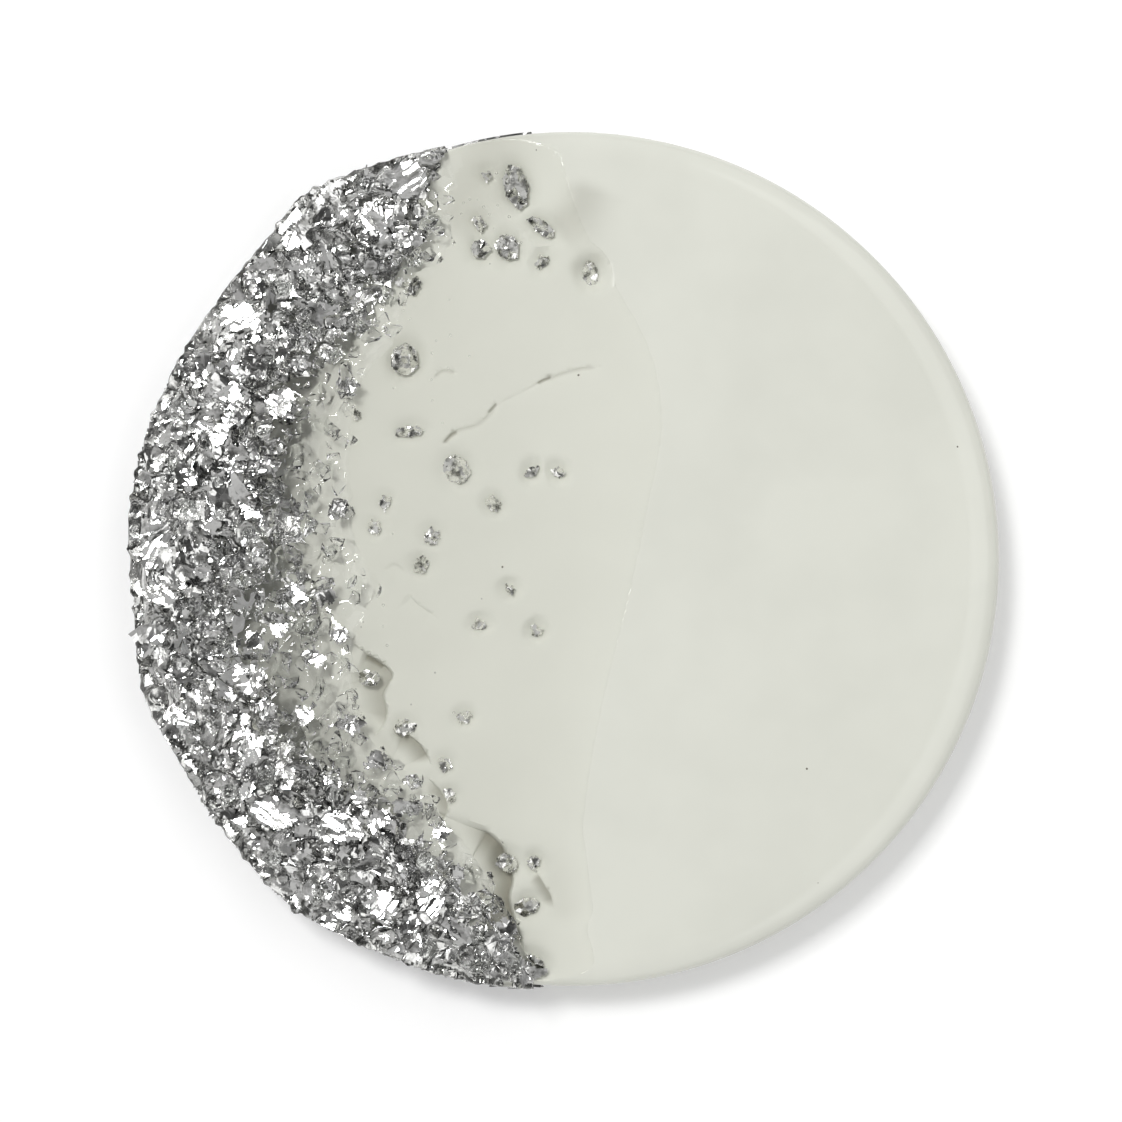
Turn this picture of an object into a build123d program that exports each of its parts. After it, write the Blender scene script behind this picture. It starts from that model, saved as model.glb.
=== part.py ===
from build123d import *

import math
import os
import random

# A round drinks coaster, cast in epoxy resin. An opaque off-white casting fills the right side and runs on
# under a pool of clear resin. Along the left rim a raised crescent of clear binder holds crushed glass and
# torn silver foil. Loose flakes float in the clear pool, larger sheets lie deep under the crust, and the
# edge of the crust side is gilded with a thin band of silver leaf.
#
# The frame has its origin at the centre of the base, +Z up out of the face and the crust on the -X side.
# Lengths are in millimetres and angles in degrees. A place is a share of the disc's radius and an angle.

# ---- Castings ----
disc_radius = 50.0
disc_height = 9.0
rim_width = 3.2  # how far in from the side the top starts to roll down
rim_drop = 1.6  # how far down the rolled rim ends
base_chamfer = 0.4
pool_depth = 2.2  # clear resin over the white at the crust's inner edge

# ---- Crust ----
crust_rise = 1.8  # top of the binder above the face
lip_drop = 2.6  # how far the binder hangs down over the side
crust_round = 0.5

# ---- Glass, foil and leaf ----
chip_size = 3.3
chip_height = 2.4
chip_taper = 14.0
chip_proud = 0.55  # most that a chip's centre lies above the binder's top
flake_length = 3.5
flake_width = 2.4
flake_thickness = 0.3
pleat_rise = 0.45
pleat_pitch = 1.4
flake_proud = 0.7  # most that a crust flake's middle lies above the binder's top
flake_cover = 0.35  # clear resin over a flake in the pool
piece_gap = 0.1  # least space left between two pieces
under_sheet_length = 8.0
under_sheet_width = 5.0
leaf_thickness = 0.25
leaf_foot = 0.6  # height at which the silver band starts
leaf_from = 95.5
leaf_to = 266.0

# The shores of the clear pool, from top to bottom of the face, all as shares of the radius: how far up,
# and how far right the pool reaches at the face, at its floor and at the base of the disc.
shores = [
    (1.02, -0.11, -0.30, -0.60),
    (0.79, 0.01, -0.32, -0.66),
    (0.61, 0.115, -0.30, -0.70),
    (0.47, 0.185, -0.28, -0.72),
    (0.33, 0.21, -0.30, -0.74),
    (0.08, 0.17, -0.32, -0.76),
    (-0.11, 0.13, -0.34, -0.76),
    (-0.29, 0.085, -0.36, -0.74),
    (-0.55, 0.035, -0.30, -0.66),
    (-0.76, 0.02, -0.20, -0.50),
    (-1.02, 0.07, -0.12, -0.36),
]
pool_back = -1.4  # how far left the pool's block runs, past the disc

# The crust's inner edge, as (share of the radius, angle), from its top end round to its bottom end.
crust_edge = [
    (0.90, 108.5),
    (0.82, 110.0),
    (0.76, 114.3),
    (0.75, 119.5),
    (0.66, 128.0),
    (0.63, 142.9),
    (0.59, 150.7),
    (0.54, 163.0),
    (0.50, 177.8),
    (0.46, 190.0),
    (0.53, 200.0),
    (0.59, 210.7),
    (0.63, 221.0),
    (0.64, 236.0),
    (0.70, 247.1),
    (0.78, 255.9),
    (0.86, 260.1),
    (0.95, 264.5),
]

# How far the binder's lip hangs out past the side, as (angle, length), the other way round.
lip_reach = [
    (264.0, 0.5),
    (256.0, 0.8),
    (244.0, 1.1),
    (231.0, 1.9),
    (219.0, 1.4),
    (208.0, 1.3),
    (199.0, 2.1),
    (188.0, 1.2),
    (174.0, 1.6),
    (158.0, 1.2),
    (142.0, 0.9),
    (134.0, 1.3),
    (127.0, 2.5),
    (119.0, 1.5),
    (111.0, 0.5),
]

# Where each group of chips and crust flakes lies: name, first and last angle, chips, flakes.
crust_sectors = [
    ("north", 110.0, 134.0, 9, 7),
    ("northwest", 134.0, 162.0, 12, 10),
    ("west", 162.0, 192.0, 15, 12),
    ("southwest", 192.0, 226.0, 15, 12),
    ("south", 226.0, 262.0, 12, 9),
]

# The larger foil pieces of the crust: name, share of the radius, angle, length, width, turn, tilt.
crust_sheets = [
    ("foil_long_south", 0.84, 228.4, 8.2, 3.4, -16.0, 8.0),
    ("foil_tall_west", 0.96, 178.9, 3.2, 6.8, -8.0, 10.0),
    ("foil_leaf_west", 0.95, 185.2, 4.2, 3.6, 35.0, -12.0),
    ("foil_wing_northwest", 0.94, 144.6, 5.2, 3.2, -12.0, 6.0),
    ("foil_fold_northwest", 0.88, 160.1, 4.4, 4.4, -40.0, -10.0),
    ("foil_star_north", 0.91, 120.5, 4.4, 3.4, -20.0, 6.0),
    ("foil_cup_north", 0.95, 113.9, 4.6, 4.4, 12.0, -14.0),
    ("foil_ridge_south", 0.92, 241.5, 4.2, 3.2, -30.0, 9.0),
    ("foil_spear_south", 0.86, 248.0, 3.2, 4.4, 12.0, -8.0),
    ("foil_crumple_southwest", 0.91, 221.2, 5.0, 3.8, -24.0, 12.0),
    ("foil_knot_southwest", 0.87, 211.0, 3.4, 4.2, 40.0, -10.0),
    ("foil_peak_inner", 0.76, 152.7, 3.6, 3.0, 55.0, 12.0),
    ("foil_tongue_southwest", 0.80, 201.5, 3.2, 4.4, 30.0, -14.0),
]

# The flakes in the clear pool that stand out singly: name, shares of the radius right and up, length,
# width, turn and tilt.
pool_flakes = [
    ("flake_branch_top", -0.132, 0.865, 3.4, 6.4, 12.0, 6.0),
    ("flake_spur_top", -0.070, 0.770, 4.2, 1.7, -38.0, -6.0),
    ("flake_nugget_top", -0.147, 0.722, 3.2, 3.6, 15.0, 8.0),
    ("flake_bead_top", -0.212, 0.718, 2.5, 2.7, -20.0, -8.0),
    ("flake_drop_right", 0.046, 0.662, 2.2, 3.6, 8.0, 6.0),
    ("flake_kite", -0.388, 0.458, 3.6, 4.4, -14.0, 12.0),
    ("flake_rose", -0.265, 0.200, 3.4, 4.0, 35.0, 6.0),
    ("flake_sliver", -0.377, 0.288, 4.0, 1.5, 4.0, -6.0),
    ("flake_triangle", -0.470, -0.288, 3.2, 2.2, -14.0, 8.0),
    ("flake_shard_bottom", -0.100, -0.816, 3.4, 2.4, 8.0, -8.0),
    ("flake_ring_bottom", -0.149, -0.716, 2.6, 2.9, 40.0, 8.0),
    ("flake_tail_bottom", -0.086, -0.944, 3.0, 1.8, -30.0, 4.0),
]

# The small flakes of the clear pool, in groups: name, and each one's shares right and up, and its length.
pool_crumbs = {
    "crumbs_top": [
        (-0.065, 0.691, 2.0),
        (-0.374, 0.630, 2.2),
        (-0.214, 0.779, 1.8),
        (-0.198, 0.891, 1.5),
        (-0.500, 0.326, 1.6),
    ],
    "crumbs_middle": [
        (-0.091, 0.193, 1.8),
        (-0.030, 0.193, 1.6),
        (-0.181, 0.116, 1.9),
        (-0.435, 0.121, 1.7),
        (-0.458, 0.063, 1.6),
        (-0.323, 0.044, 2.2),
        (-0.349, -0.026, 2.0),
        (-0.142, -0.081, 1.3),
        (-0.212, -0.163, 1.8),
        (-0.079, -0.177, 1.3),
    ],
    "crumbs_bottom": [
        (-0.246, -0.379, 1.8),
        (-0.386, -0.405, 2.2),
        (-0.291, -0.488, 1.8),
        (-0.281, -0.563, 1.6),
        (-0.086, -0.716, 1.6),
    ],
}

# The sheets in the clear resin just under the crust: name, and each one's share, angle and height share.
under_sheets = {
    "under_foil_northwest": [
        (0.86, 121.0, 0.80),
        (0.83, 133.5, 0.76),
        (0.84, 146.0, 0.80),
        (0.80, 158.5, 0.76),
    ],
    "under_foil_west": [
        (0.86, 170.5, 0.80),
        (0.84, 182.5, 0.76),
        (0.86, 194.5, 0.80),
        (0.66, 174.0, 0.78),
        (0.65, 189.0, 0.80),
    ],
    "under_foil_southwest": [
        (0.82, 206.5, 0.76),
        (0.84, 218.5, 0.80),
        (0.83, 231.0, 0.76),
        (0.86, 243.0, 0.80),
    ],
}

binder_top = disc_height + crust_rise


def spot(share, angle):
    """The place in plan at a share of the disc's radius and an angle."""
    turn = math.radians(angle)
    return (share * disc_radius * math.cos(turn), share * disc_radius * math.sin(turn))


def make_disc():
    """The whole disc, before the pours are told apart: chamfered base, straight side, rolled rim."""
    rim_top = (disc_radius - rim_width, disc_height)
    rim_foot = (disc_radius, disc_height - rim_drop)
    rim_middle = (disc_radius - 0.35 * rim_width, disc_height - 0.25 * rim_drop)
    with BuildPart() as disc:
        with BuildSketch(Plane.XZ):
            with BuildLine():
                Polyline(
                    rim_top,
                    (0, disc_height),
                    (0, 0),
                    (disc_radius - base_chamfer, 0),
                    (disc_radius, base_chamfer),
                    rim_foot,
                )
                Spline(rim_foot, rim_middle, rim_top, tangents=((0, 1), (-1, 0)))
            make_face()
        revolve(axis=Axis.Z)
    return disc.part


def make_pool():
    """The block that the clear resin fills, with banks that slope in from the face down to the base."""
    with BuildPart() as pool:
        for height, column in ((disc_height, 1), (disc_height - pool_depth, 2), (0, 3)):
            bank = [(row[column] * disc_radius, row[0] * disc_radius) for row in shores]
            back = pool_back * disc_radius
            with BuildSketch(Plane.XY.offset(height)):
                with BuildLine():
                    Spline(*bank)
                    Polyline(bank[-1], (back, bank[-1][1]), (back, bank[0][1]), bank[0])
                make_face()
        loft(ruled=True)
    return pool.part


def torn_outline(length, width, corners, rng):
    """The corners of a torn piece, round the origin."""
    outline = []
    for corner in range(corners):
        turn = 2 * math.pi * (corner + rng.uniform(-0.25, 0.25)) / corners
        reach = rng.uniform(0.78, 1.0) / 2
        outline.append((length * reach * math.cos(turn), width * reach * math.sin(turn)))
    return outline


def make_flake(length, width, rng):
    """A torn, pleated piece of foil, stiff with resin, that lies flat on the origin."""
    pleats = max(2, round(length / pleat_pitch))
    step = length / pleats
    ridge = [
        ((pleat - pleats / 2) * step, pleat_rise * (pleat % 2) * rng.uniform(0.5, 1.0))
        for pleat in range(pleats + 1)
    ]
    underside = [(x, z - flake_thickness) for x, z in reversed(ridge)]
    outline = torn_outline(length, width, 7, rng)
    with BuildPart() as flake:
        with BuildSketch(Plane.XZ):
            with BuildLine():
                Polyline(*ridge, *underside, close=True)
            make_face()
        extrude(amount=width, both=True)
        with BuildSketch():
            with BuildLine():
                Polyline(*outline, close=True)
            make_face()
        extrude(amount=pleat_rise + flake_thickness, both=True, mode=Mode.INTERSECT)
    return flake.part


def make_chip(size, rng):
    """A chip of crushed glass, centred on the origin: a tapered stub with two broken faces."""
    outline = torn_outline(size, size * rng.uniform(0.7, 1.0), rng.choice((4, 5, 6)), rng)
    with BuildPart() as chip:
        with BuildSketch(Plane.XY.offset(-chip_height / 2)):
            with BuildLine():
                Polyline(*outline, close=True)
            make_face()
        extrude(amount=chip_height, taper=chip_taper)
        for _ in range(2):
            lean = rng.uniform(25, 60)
            break_face = Plane.XY.rotated((lean, 0, rng.uniform(0, 360)))
            split(bisect_by=break_face.offset(0.22 * size), keep=Keep.BOTTOM)
    return chip.part


def set_down(piece, place, height, turn, tilt, lean=0.0):
    """The piece moved to its place, turned in plan and then tilted."""
    return piece.moved(Location((*place, height), (tilt, lean, turn)))


def inside_crust(place, margin):
    """Whether a place is in the crust, at least a margin from its inner edge."""
    reach = math.hypot(*place)
    angle = math.degrees(math.atan2(place[1], place[0])) % 360
    if not crust_edge[0][1] <= angle <= crust_edge[-1][1]:
        return False
    for (near, start), (far, end) in zip(crust_edge, crust_edge[1:]):
        if start <= angle <= end:
            share = near + (far - near) * (angle - start) / (end - start)
            return reach >= share * disc_radius + margin
    return False


def footprint(place, length, width, turn):
    """The circles, as (centre, radius), that a flat piece covers in plan, in a row along its length."""
    if width > length:
        length, width, turn = width, length, turn + 90
    beads = max(1, math.ceil(length / width))
    reach = (length - width) / 2
    circles = []
    for bead in range(beads):
        along = reach * (2 * bead / (beads - 1) - 1) if beads > 1 else 0
        centre = (
            place[0] + along * math.cos(math.radians(turn)),
            place[1] + along * math.sin(math.radians(turn)),
        )
        circles.append((centre, width / 2))
    return circles


def scatter(first, last, wanted, radius, taken, rng):
    """Places for a number of pieces of one radius in a sector of the crust, clear of those taken."""
    places = []
    for _ in range(1500):
        place = spot(math.sqrt(rng.uniform(0.2, 0.97)), rng.uniform(first, last))
        room = all(math.dist(place, other) >= radius + size + piece_gap for other, size in taken)
        if room and len(places) < wanted and inside_crust(place, 0.5 * radius):
            places.append(place)
            taken.append((place, radius))
    return places


def build_crust_pieces():
    """All glass and foil of the crust, by node name, set down where they lie."""
    nodes, taken = {}, []
    for number, (name, share, angle, length, width, turn, tilt) in enumerate(crust_sheets):
        place = spot(share, angle)
        flake = make_flake(length, width, random.Random(number))
        nodes[name] = [set_down(flake, place, binder_top + flake_proud, turn, tilt)]
        taken.extend(footprint(place, length, width, turn))
    for number, (sector, first, last, chips, flakes) in enumerate(crust_sectors):
        rng = random.Random(100 + number)
        chip_places = scatter(first, last, chips, chip_size / 2, taken, rng)
        flake_places = scatter(first, last, flakes, 0.45 * flake_length, taken, rng)
        nodes["glass_chips_" + sector] = [
            set_down(
                make_chip(chip_size * rng.uniform(0.8, 1.0), rng),
                place,
                binder_top + chip_proud * rng.uniform(0.2, 1.0),
                rng.uniform(0, 360),
                rng.uniform(-20, 20),
            )
            for place in chip_places
        ]
        nodes["foil_flakes_" + sector] = [
            set_down(
                make_flake(flake_length * rng.uniform(0.75, 0.95), flake_width, rng),
                place,
                binder_top + flake_proud * rng.uniform(0.2, 1.0),
                rng.uniform(0, 360),
                rng.uniform(-32, 32),
            )
            for place in flake_places
        ]
    return nodes


def build_sunk_pieces():
    """The foil that lies inside the clear resin, by node name, set down where it lies."""
    nodes = {}
    just_under = disc_height - pleat_rise - flake_cover
    for number, (name, right, up, length, width, turn, tilt) in enumerate(pool_flakes):
        flake = make_flake(length, width, random.Random(300 + number))
        place = (right * disc_radius, up * disc_radius)
        nodes[name] = [set_down(flake, place, just_under, turn, tilt)]
    for name, crumbs in pool_crumbs.items():
        rng = random.Random(name)
        nodes[name] = [
            set_down(
                make_flake(length, length * rng.uniform(0.6, 0.95), rng),
                (right * disc_radius, up * disc_radius),
                just_under,
                rng.uniform(0, 360),
                rng.uniform(-8, 8),
            )
            for right, up, length in crumbs
        ]
    for name, sheets in under_sheets.items():
        rng = random.Random(name)
        nodes[name] = [
            set_down(
                make_flake(under_sheet_length, under_sheet_width, rng),
                spot(share, angle),
                height * disc_height,
                angle + 90,
                rng.uniform(-8, 8),
            )
            for share, angle, height in sheets
        ]
    return nodes


def make_node(pieces):
    """One node made of the given pieces, as separate solids."""
    with BuildPart() as node:
        add(pieces)
    return node.part


crust_pieces = build_crust_pieces()
sunk_pieces = build_sunk_pieces()
all_crust = [piece for pieces in crust_pieces.values() for piece in pieces]
all_sunk = [piece for pieces in sunk_pieces.values() for piece in pieces]
disc = make_disc()
pool = make_pool()

# The disc with a pocket for every piece that lies in it; the two castings below share it between them.
with BuildPart() as pocketed_disc:
    add(disc)
    add(all_sunk + all_crust, mode=Mode.SUBTRACT)

# The white casting: the disc less the clear pool.
with BuildPart() as white_casting:
    add(pocketed_disc.part)
    add(pool, mode=Mode.SUBTRACT)

# The clear casting: what the pool fills of the disc.
with BuildPart() as clear_casting:
    add(pocketed_disc.part)
    add(pool, mode=Mode.INTERSECT)

# The binder of the crust: a rounded crescent seated on the rolled rim, with a lip over the side.
inner_edge = [spot(share, angle) for share, angle in crust_edge]
outer_edge = [spot(1 + reach / disc_radius, angle) for angle, reach in lip_reach]
with BuildPart() as crust_binder:
    with BuildSketch(Plane.XY.offset(disc_height - lip_drop)):
        with BuildLine():
            Spline(*inner_edge, *outer_edge, periodic=True)
        make_face()
    extrude(amount=lip_drop + crust_rise)
    fillet(crust_binder.faces().sort_by(Axis.Z)[-1].edges(), radius=crust_round)
    add(disc, mode=Mode.SUBTRACT)
    add(all_crust, mode=Mode.SUBTRACT)

# The silver leaf: a thin band on the side of the crust half, under the binder's lip.
with BuildPart() as silver_leaf_band:
    with BuildSketch(Plane.XY.offset(leaf_foot)):
        with BuildLine():
            CenterArc((0, 0), disc_radius + leaf_thickness, leaf_from, leaf_to - leaf_from)
            CenterArc((0, 0), disc_radius, leaf_from, leaf_to - leaf_from)
            for angle in (leaf_from, leaf_to):
                Line(spot(1, angle), spot(1 + leaf_thickness / disc_radius, angle))
        make_face()
    extrude(amount=disc_height - lip_drop - leaf_foot)

os.makedirs("parts", exist_ok=True)
castings = {
    "white_casting": white_casting.part,
    "clear_casting": clear_casting.part,
    "crust_binder": crust_binder.part,
    "silver_leaf_band": silver_leaf_band.part,
}
glass_and_foil = {name: make_node(pieces) for name, pieces in {**crust_pieces, **sunk_pieces}.items()}
for name, part in {**castings, **glass_and_foil}.items():
    part.label = name
    export_step(part, f"parts/{name}.step")
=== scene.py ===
"""Dresses a cast resin coaster: its two pours, its crust of glass and foil, and the studio it lies in.

Lengths are in millimetres until a piece's mesh is finished, when it is scaled to metres. Angles are in
degrees, turned from +X towards +Y. A place on the disc is a share of its radius and an angle.
"""

import logging
import math
import random
from bisect import bisect_right
from dataclasses import dataclass, field
from enum import Enum
from typing import Callable, Iterable

import bmesh
import bpy
import numpy as np
from mathutils import Matrix, Vector, noise
from mathutils.bvhtree import BVHTree


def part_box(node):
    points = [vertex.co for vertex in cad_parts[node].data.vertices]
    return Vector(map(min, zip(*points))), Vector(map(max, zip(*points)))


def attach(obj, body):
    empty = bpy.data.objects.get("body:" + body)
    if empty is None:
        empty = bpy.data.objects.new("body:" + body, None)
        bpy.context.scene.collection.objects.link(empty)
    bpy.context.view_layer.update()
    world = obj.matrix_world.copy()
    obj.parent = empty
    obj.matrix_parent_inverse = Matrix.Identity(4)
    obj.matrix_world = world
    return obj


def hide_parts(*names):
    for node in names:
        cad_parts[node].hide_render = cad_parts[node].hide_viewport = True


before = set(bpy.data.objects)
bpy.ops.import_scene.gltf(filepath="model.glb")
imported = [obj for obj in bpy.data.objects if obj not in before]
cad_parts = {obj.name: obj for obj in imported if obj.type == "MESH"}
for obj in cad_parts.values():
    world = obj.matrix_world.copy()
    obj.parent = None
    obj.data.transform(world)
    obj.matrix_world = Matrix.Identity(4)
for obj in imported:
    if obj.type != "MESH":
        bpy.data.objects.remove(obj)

MM = 0.001
NOISE_SEED = 7  # without one, the clock shifts every noise vector, and no two runs are alike
CAST_ANGLE = 32  # faces of a casting that meet at less than this are shaded smooth
log = logging.getLogger("coaster")

Point = tuple[float, float]


# ---------------------------------------------------------------------------------------------- helpers


def linear(colour: str) -> tuple[float, float, float, float]:
    """Turns an sRGB hex colour into the linear one that a shader takes.

    Args:
        colour: The colour as "#RRGGBB".

    Returns:
        Linear red, green and blue, and an alpha of 1.
    """
    parts = [int(colour[at : at + 2], 16) / 255 for at in (1, 3, 5)]
    red, green, blue = (c / 12.92 if c <= 0.04045 else ((c + 0.055) / 1.055) ** 2.4 for c in parts)
    return (red, green, blue, 1.0)


def feed(tree: bpy.types.NodeTree, node: bpy.types.Node, inputs: dict[str | int, object]) -> None:
    """Gives a node's input sockets what they take.

    Args:
        tree: The node tree.
        node: The node.
        inputs: By name or number, a value or the socket that feeds the input.
    """
    for name, value in inputs.items():
        if isinstance(value, bpy.types.NodeSocket):
            tree.links.new(value, node.inputs[name])
        else:
            node.inputs[name].default_value = value


def add_node(
    tree: bpy.types.NodeTree, kind: str, inputs: dict[str | int, object] | None = None, **settings: object
) -> bpy.types.Node:
    """Adds a node.

    Args:
        tree: The node tree.
        kind: What follows "ShaderNode" in the node's type, such as "TexNoise".
        inputs: What its input sockets take, as feed() has it.
        settings: The node's own properties.

    Returns:
        The new node.
    """
    node = tree.nodes.new("ShaderNode" + kind)
    for name, value in settings.items():
        setattr(node, name, value)
    feed(tree, node, inputs or {})
    return node


def reckon(tree: bpy.types.NodeTree, operation: str, first: object, second: object) -> bpy.types.NodeSocket:
    """Adds a sum of two numbers, each a value or a socket.

    Args:
        tree: The node tree.
        operation: The kind of sum, such as "MULTIPLY".
        first: The first number.
        second: The second number.

    Returns:
        The socket that gives the result.
    """
    return add_node(tree, "Math", {0: first, 1: second}, operation=operation).outputs[0]


def blend(tree: bpy.types.NodeTree, share: object, first: object, second: object) -> bpy.types.NodeSocket:
    """Adds a blend of two colours, each a value or a socket.

    Args:
        tree: The node tree.
        share: How much of the second colour shows.
        first: The first colour.
        second: The second colour.

    Returns:
        The socket that gives the blend.
    """
    return add_node(tree, "Mix", {0: share, 6: first, 7: second}, data_type="RGBA").outputs[2]


def object_place(tree: bpy.types.NodeTree) -> bpy.types.NodeSocket:
    """The socket that gives a point's place on the object."""
    return add_node(tree, "TexCoord").outputs["Object"]


def ramp(
    tree: bpy.types.NodeTree, source: bpy.types.NodeSocket, stops: Iterable[tuple[float, str]]
) -> bpy.types.NodeSocket:
    """Adds a colour ramp.

    Args:
        tree: The node tree.
        source: The number that runs along the ramp.
        stops: Positions from 0 to 1 and their hex colours.

    Returns:
        The socket that gives the colour.
    """
    node = add_node(tree, "ValToRGB", {"Fac": source})
    elements = node.color_ramp.elements
    first, *between, last = stops
    for position, colour in between:
        elements.new(position).color = linear(colour)
    for element, (position, colour) in ((elements[0], first), (elements[len(elements) - 1], last)):
        element.position = position
        element.color = linear(colour)
    return node.outputs["Color"]


def new_material(name: str, **inputs: object) -> tuple[bpy.types.Material, bpy.types.NodeTree, bpy.types.Node]:
    """Starts a material with one Principled shader.

    Args:
        name: The material's name.
        inputs: Values of the shader's sockets, with "_" for each space in their names.

    Returns:
        The material, its node tree and its Principled node.
    """
    material = bpy.data.materials.new(name)
    material.use_nodes = True
    tree = material.node_tree
    shader = tree.nodes["Principled BSDF"]
    feed(tree, shader, {socket.replace("_", " "): value for socket, value in inputs.items()})
    return material, tree, shader


def let_lamps_through(tree: bpy.types.NodeTree, shader: bpy.types.Node) -> None:
    """Lets the light of lamps and of matt surfaces straight through a clear shader, onto what lies inside.

    Args:
        tree: The material's node tree.
        shader: Its clear shader.
    """
    path = add_node(tree, "LightPath")
    soft = reckon(tree, "MAXIMUM", path.outputs["Is Shadow Ray"], path.outputs["Is Diffuse Ray"])
    straight = add_node(tree, "BsdfTransparent")
    mix = add_node(tree, "MixShader", {0: soft, 1: shader.outputs[0], 2: straight.outputs[0]})
    tree.links.new(mix.outputs[0], tree.nodes["Material Output"].inputs["Surface"])


def facets(tree: bpy.types.NodeTree, shader: bpy.types.Node, size: float, lean: float) -> None:
    """Breaks a surface into flat facets that meet in creases.

    Args:
        tree: The node tree of its material.
        shader: The shader whose normal the facets turn.
        size: The width of a facet, in millimetres.
        lean: The slope of the steepest facets.
    """
    place = object_place(tree)
    cells = add_node(tree, "TexVoronoi", {"Scale": 1 / (size * MM), "Vector": place}).outputs
    away = add_node(tree, "VectorMath", {0: place, 1: cells["Position"]}, operation="SUBTRACT")
    slope = add_node(tree, "VectorMath", {0: cells["Color"], 1: (0.5, 0.5, 0.5)}, operation="SUBTRACT")
    rise = add_node(tree, "VectorMath", {0: away.outputs[0], 1: slope.outputs[0]}, operation="DOT_PRODUCT")
    height = reckon(tree, "MULTIPLY", rise.outputs["Value"], 2 * lean)
    bump = add_node(tree, "Bump", {"Distance": 1.0, "Height": height})
    tree.links.new(bump.outputs["Normal"], shader.inputs["Normal"])


class Curve:
    """A smooth curve through a few knots, level past its ends."""

    def __init__(self, places: Iterable[float], values: Iterable[float]) -> None:
        """Works out the slope at each knot.

        Args:
            places: The knots' places, rising.
            values: The knots' values.
        """
        self.places = [float(place) for place in places]
        self.values = [float(value) for value in values]
        self.slopes = np.gradient(np.array(self.values), np.array(self.places)).tolist()

    def __call__(self, at: float) -> float:
        """Reads the curve.

        Args:
            at: Where to read it.

        Returns:
            The value there.
        """
        at = min(max(at, self.places[0]), self.places[-1])
        index = min(bisect_right(self.places, at), len(self.places) - 1) - 1
        span = self.places[index + 1] - self.places[index]
        t = (at - self.places[index]) / span
        return (
            (2 * t**3 - 3 * t**2 + 1) * self.values[index]
            + (t**3 - 2 * t**2 + t) * self.slopes[index] * span
            + (3 * t**2 - 2 * t**3) * self.values[index + 1]
            + (t**3 - t**2) * self.slopes[index + 1] * span
        )


def smooth_line(points: Iterable[Point], steps: int) -> list[Point]:
    """Draws a smooth line through a few points of the plan.

    Args:
        points: The points.
        steps: How many short lines go between two of them.

    Returns:
        The points of the smooth line.
    """
    points = list(points)
    count = range(len(points))
    east, north = Curve(count, [x for x, _ in points]), Curve(count, [y for _, y in points])
    return [(east(at), north(at)) for at in np.linspace(0, len(points) - 1, (len(points) - 1) * steps + 1)]


def polar(x: float, y: float) -> tuple[float, float]:
    """The distance of a place from the disc's axis, and its angle from 0 to 360."""
    return math.hypot(x, y), math.degrees(math.atan2(y, x)) % 360


def turned(degrees: float, axis: str = "X") -> Matrix:
    """A turn about an axis: a lean about X, or a turn in plan about Z."""
    return Matrix.Rotation(math.radians(degrees), 4, axis)


def any_turn(rng: random.Random) -> Matrix:
    """A turn in plan that may have any angle."""
    return Matrix.Rotation(rng.uniform(0, 2 * math.pi), 4, "Z")


def any_shift(rng: random.Random) -> Vector:
    """A shift that picks a piece's own part of the noise."""
    return Vector((rng.uniform(0, 90), rng.uniform(0, 90), 0))


def groups_of(items: Iterable, neighbours: Callable[[object], Iterable]) -> list[list]:
    """Sorts the elements of a mesh into groups that hang together.

    Args:
        items: Its vertices or its faces.
        neighbours: Gives the elements that hang on one.

    Returns:
        The groups, in the order in which their first elements come.
    """
    groups, seen = [], set()
    for start in items:
        if start in seen:
            continue
        group, edge = [], [start]
        seen.add(start)
        while edge:
            item = edge.pop()
            group.append(item)
            for other in neighbours(item):
                if other not in seen:
                    seen.add(other)
                    edge.append(other)
        groups.append(group)
    return groups


def everything(bm: bmesh.types.BMesh) -> list:
    """All the elements of a mesh."""
    return bm.verts[:] + bm.edges[:] + bm.faces[:]


def new_verts(geom: Iterable) -> list[bmesh.types.BMVert]:
    """The vertices among the elements that an operator gives back."""
    return [item for item in geom if isinstance(item, bmesh.types.BMVert)]


def delete_loose(bm: bmesh.types.BMesh) -> None:
    """Deletes the vertices that no face holds."""
    bmesh.ops.delete(bm, geom=[vert for vert in bm.verts if not vert.link_faces], context="VERTS")


def as_mesh(bm: bmesh.types.BMesh, name: str) -> bpy.types.Mesh:
    """Turns a bmesh into a mesh with a name, and frees it."""
    mesh = bpy.data.meshes.new(name)
    bm.to_mesh(mesh)
    bm.free()
    return mesh


def surface_of(mesh: bpy.types.Mesh) -> BVHTree:
    """The surface of a finished mesh, in millimetres, to cast rays on."""
    bm = bmesh.new()
    bm.from_mesh(mesh)
    bmesh.ops.scale(bm, vec=(1 / MM, 1 / MM, 1 / MM), verts=bm.verts)
    tree = BVHTree.FromBMesh(bm)
    bm.free()
    return tree


def put_in_scene(name: str, data: bpy.types.ID) -> bpy.types.Object:
    """Makes an object of a mesh, a lamp or a camera, and links it to the scene."""
    thing = bpy.data.objects.new(name, data)
    bpy.context.scene.collection.objects.link(thing)
    return thing


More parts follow.
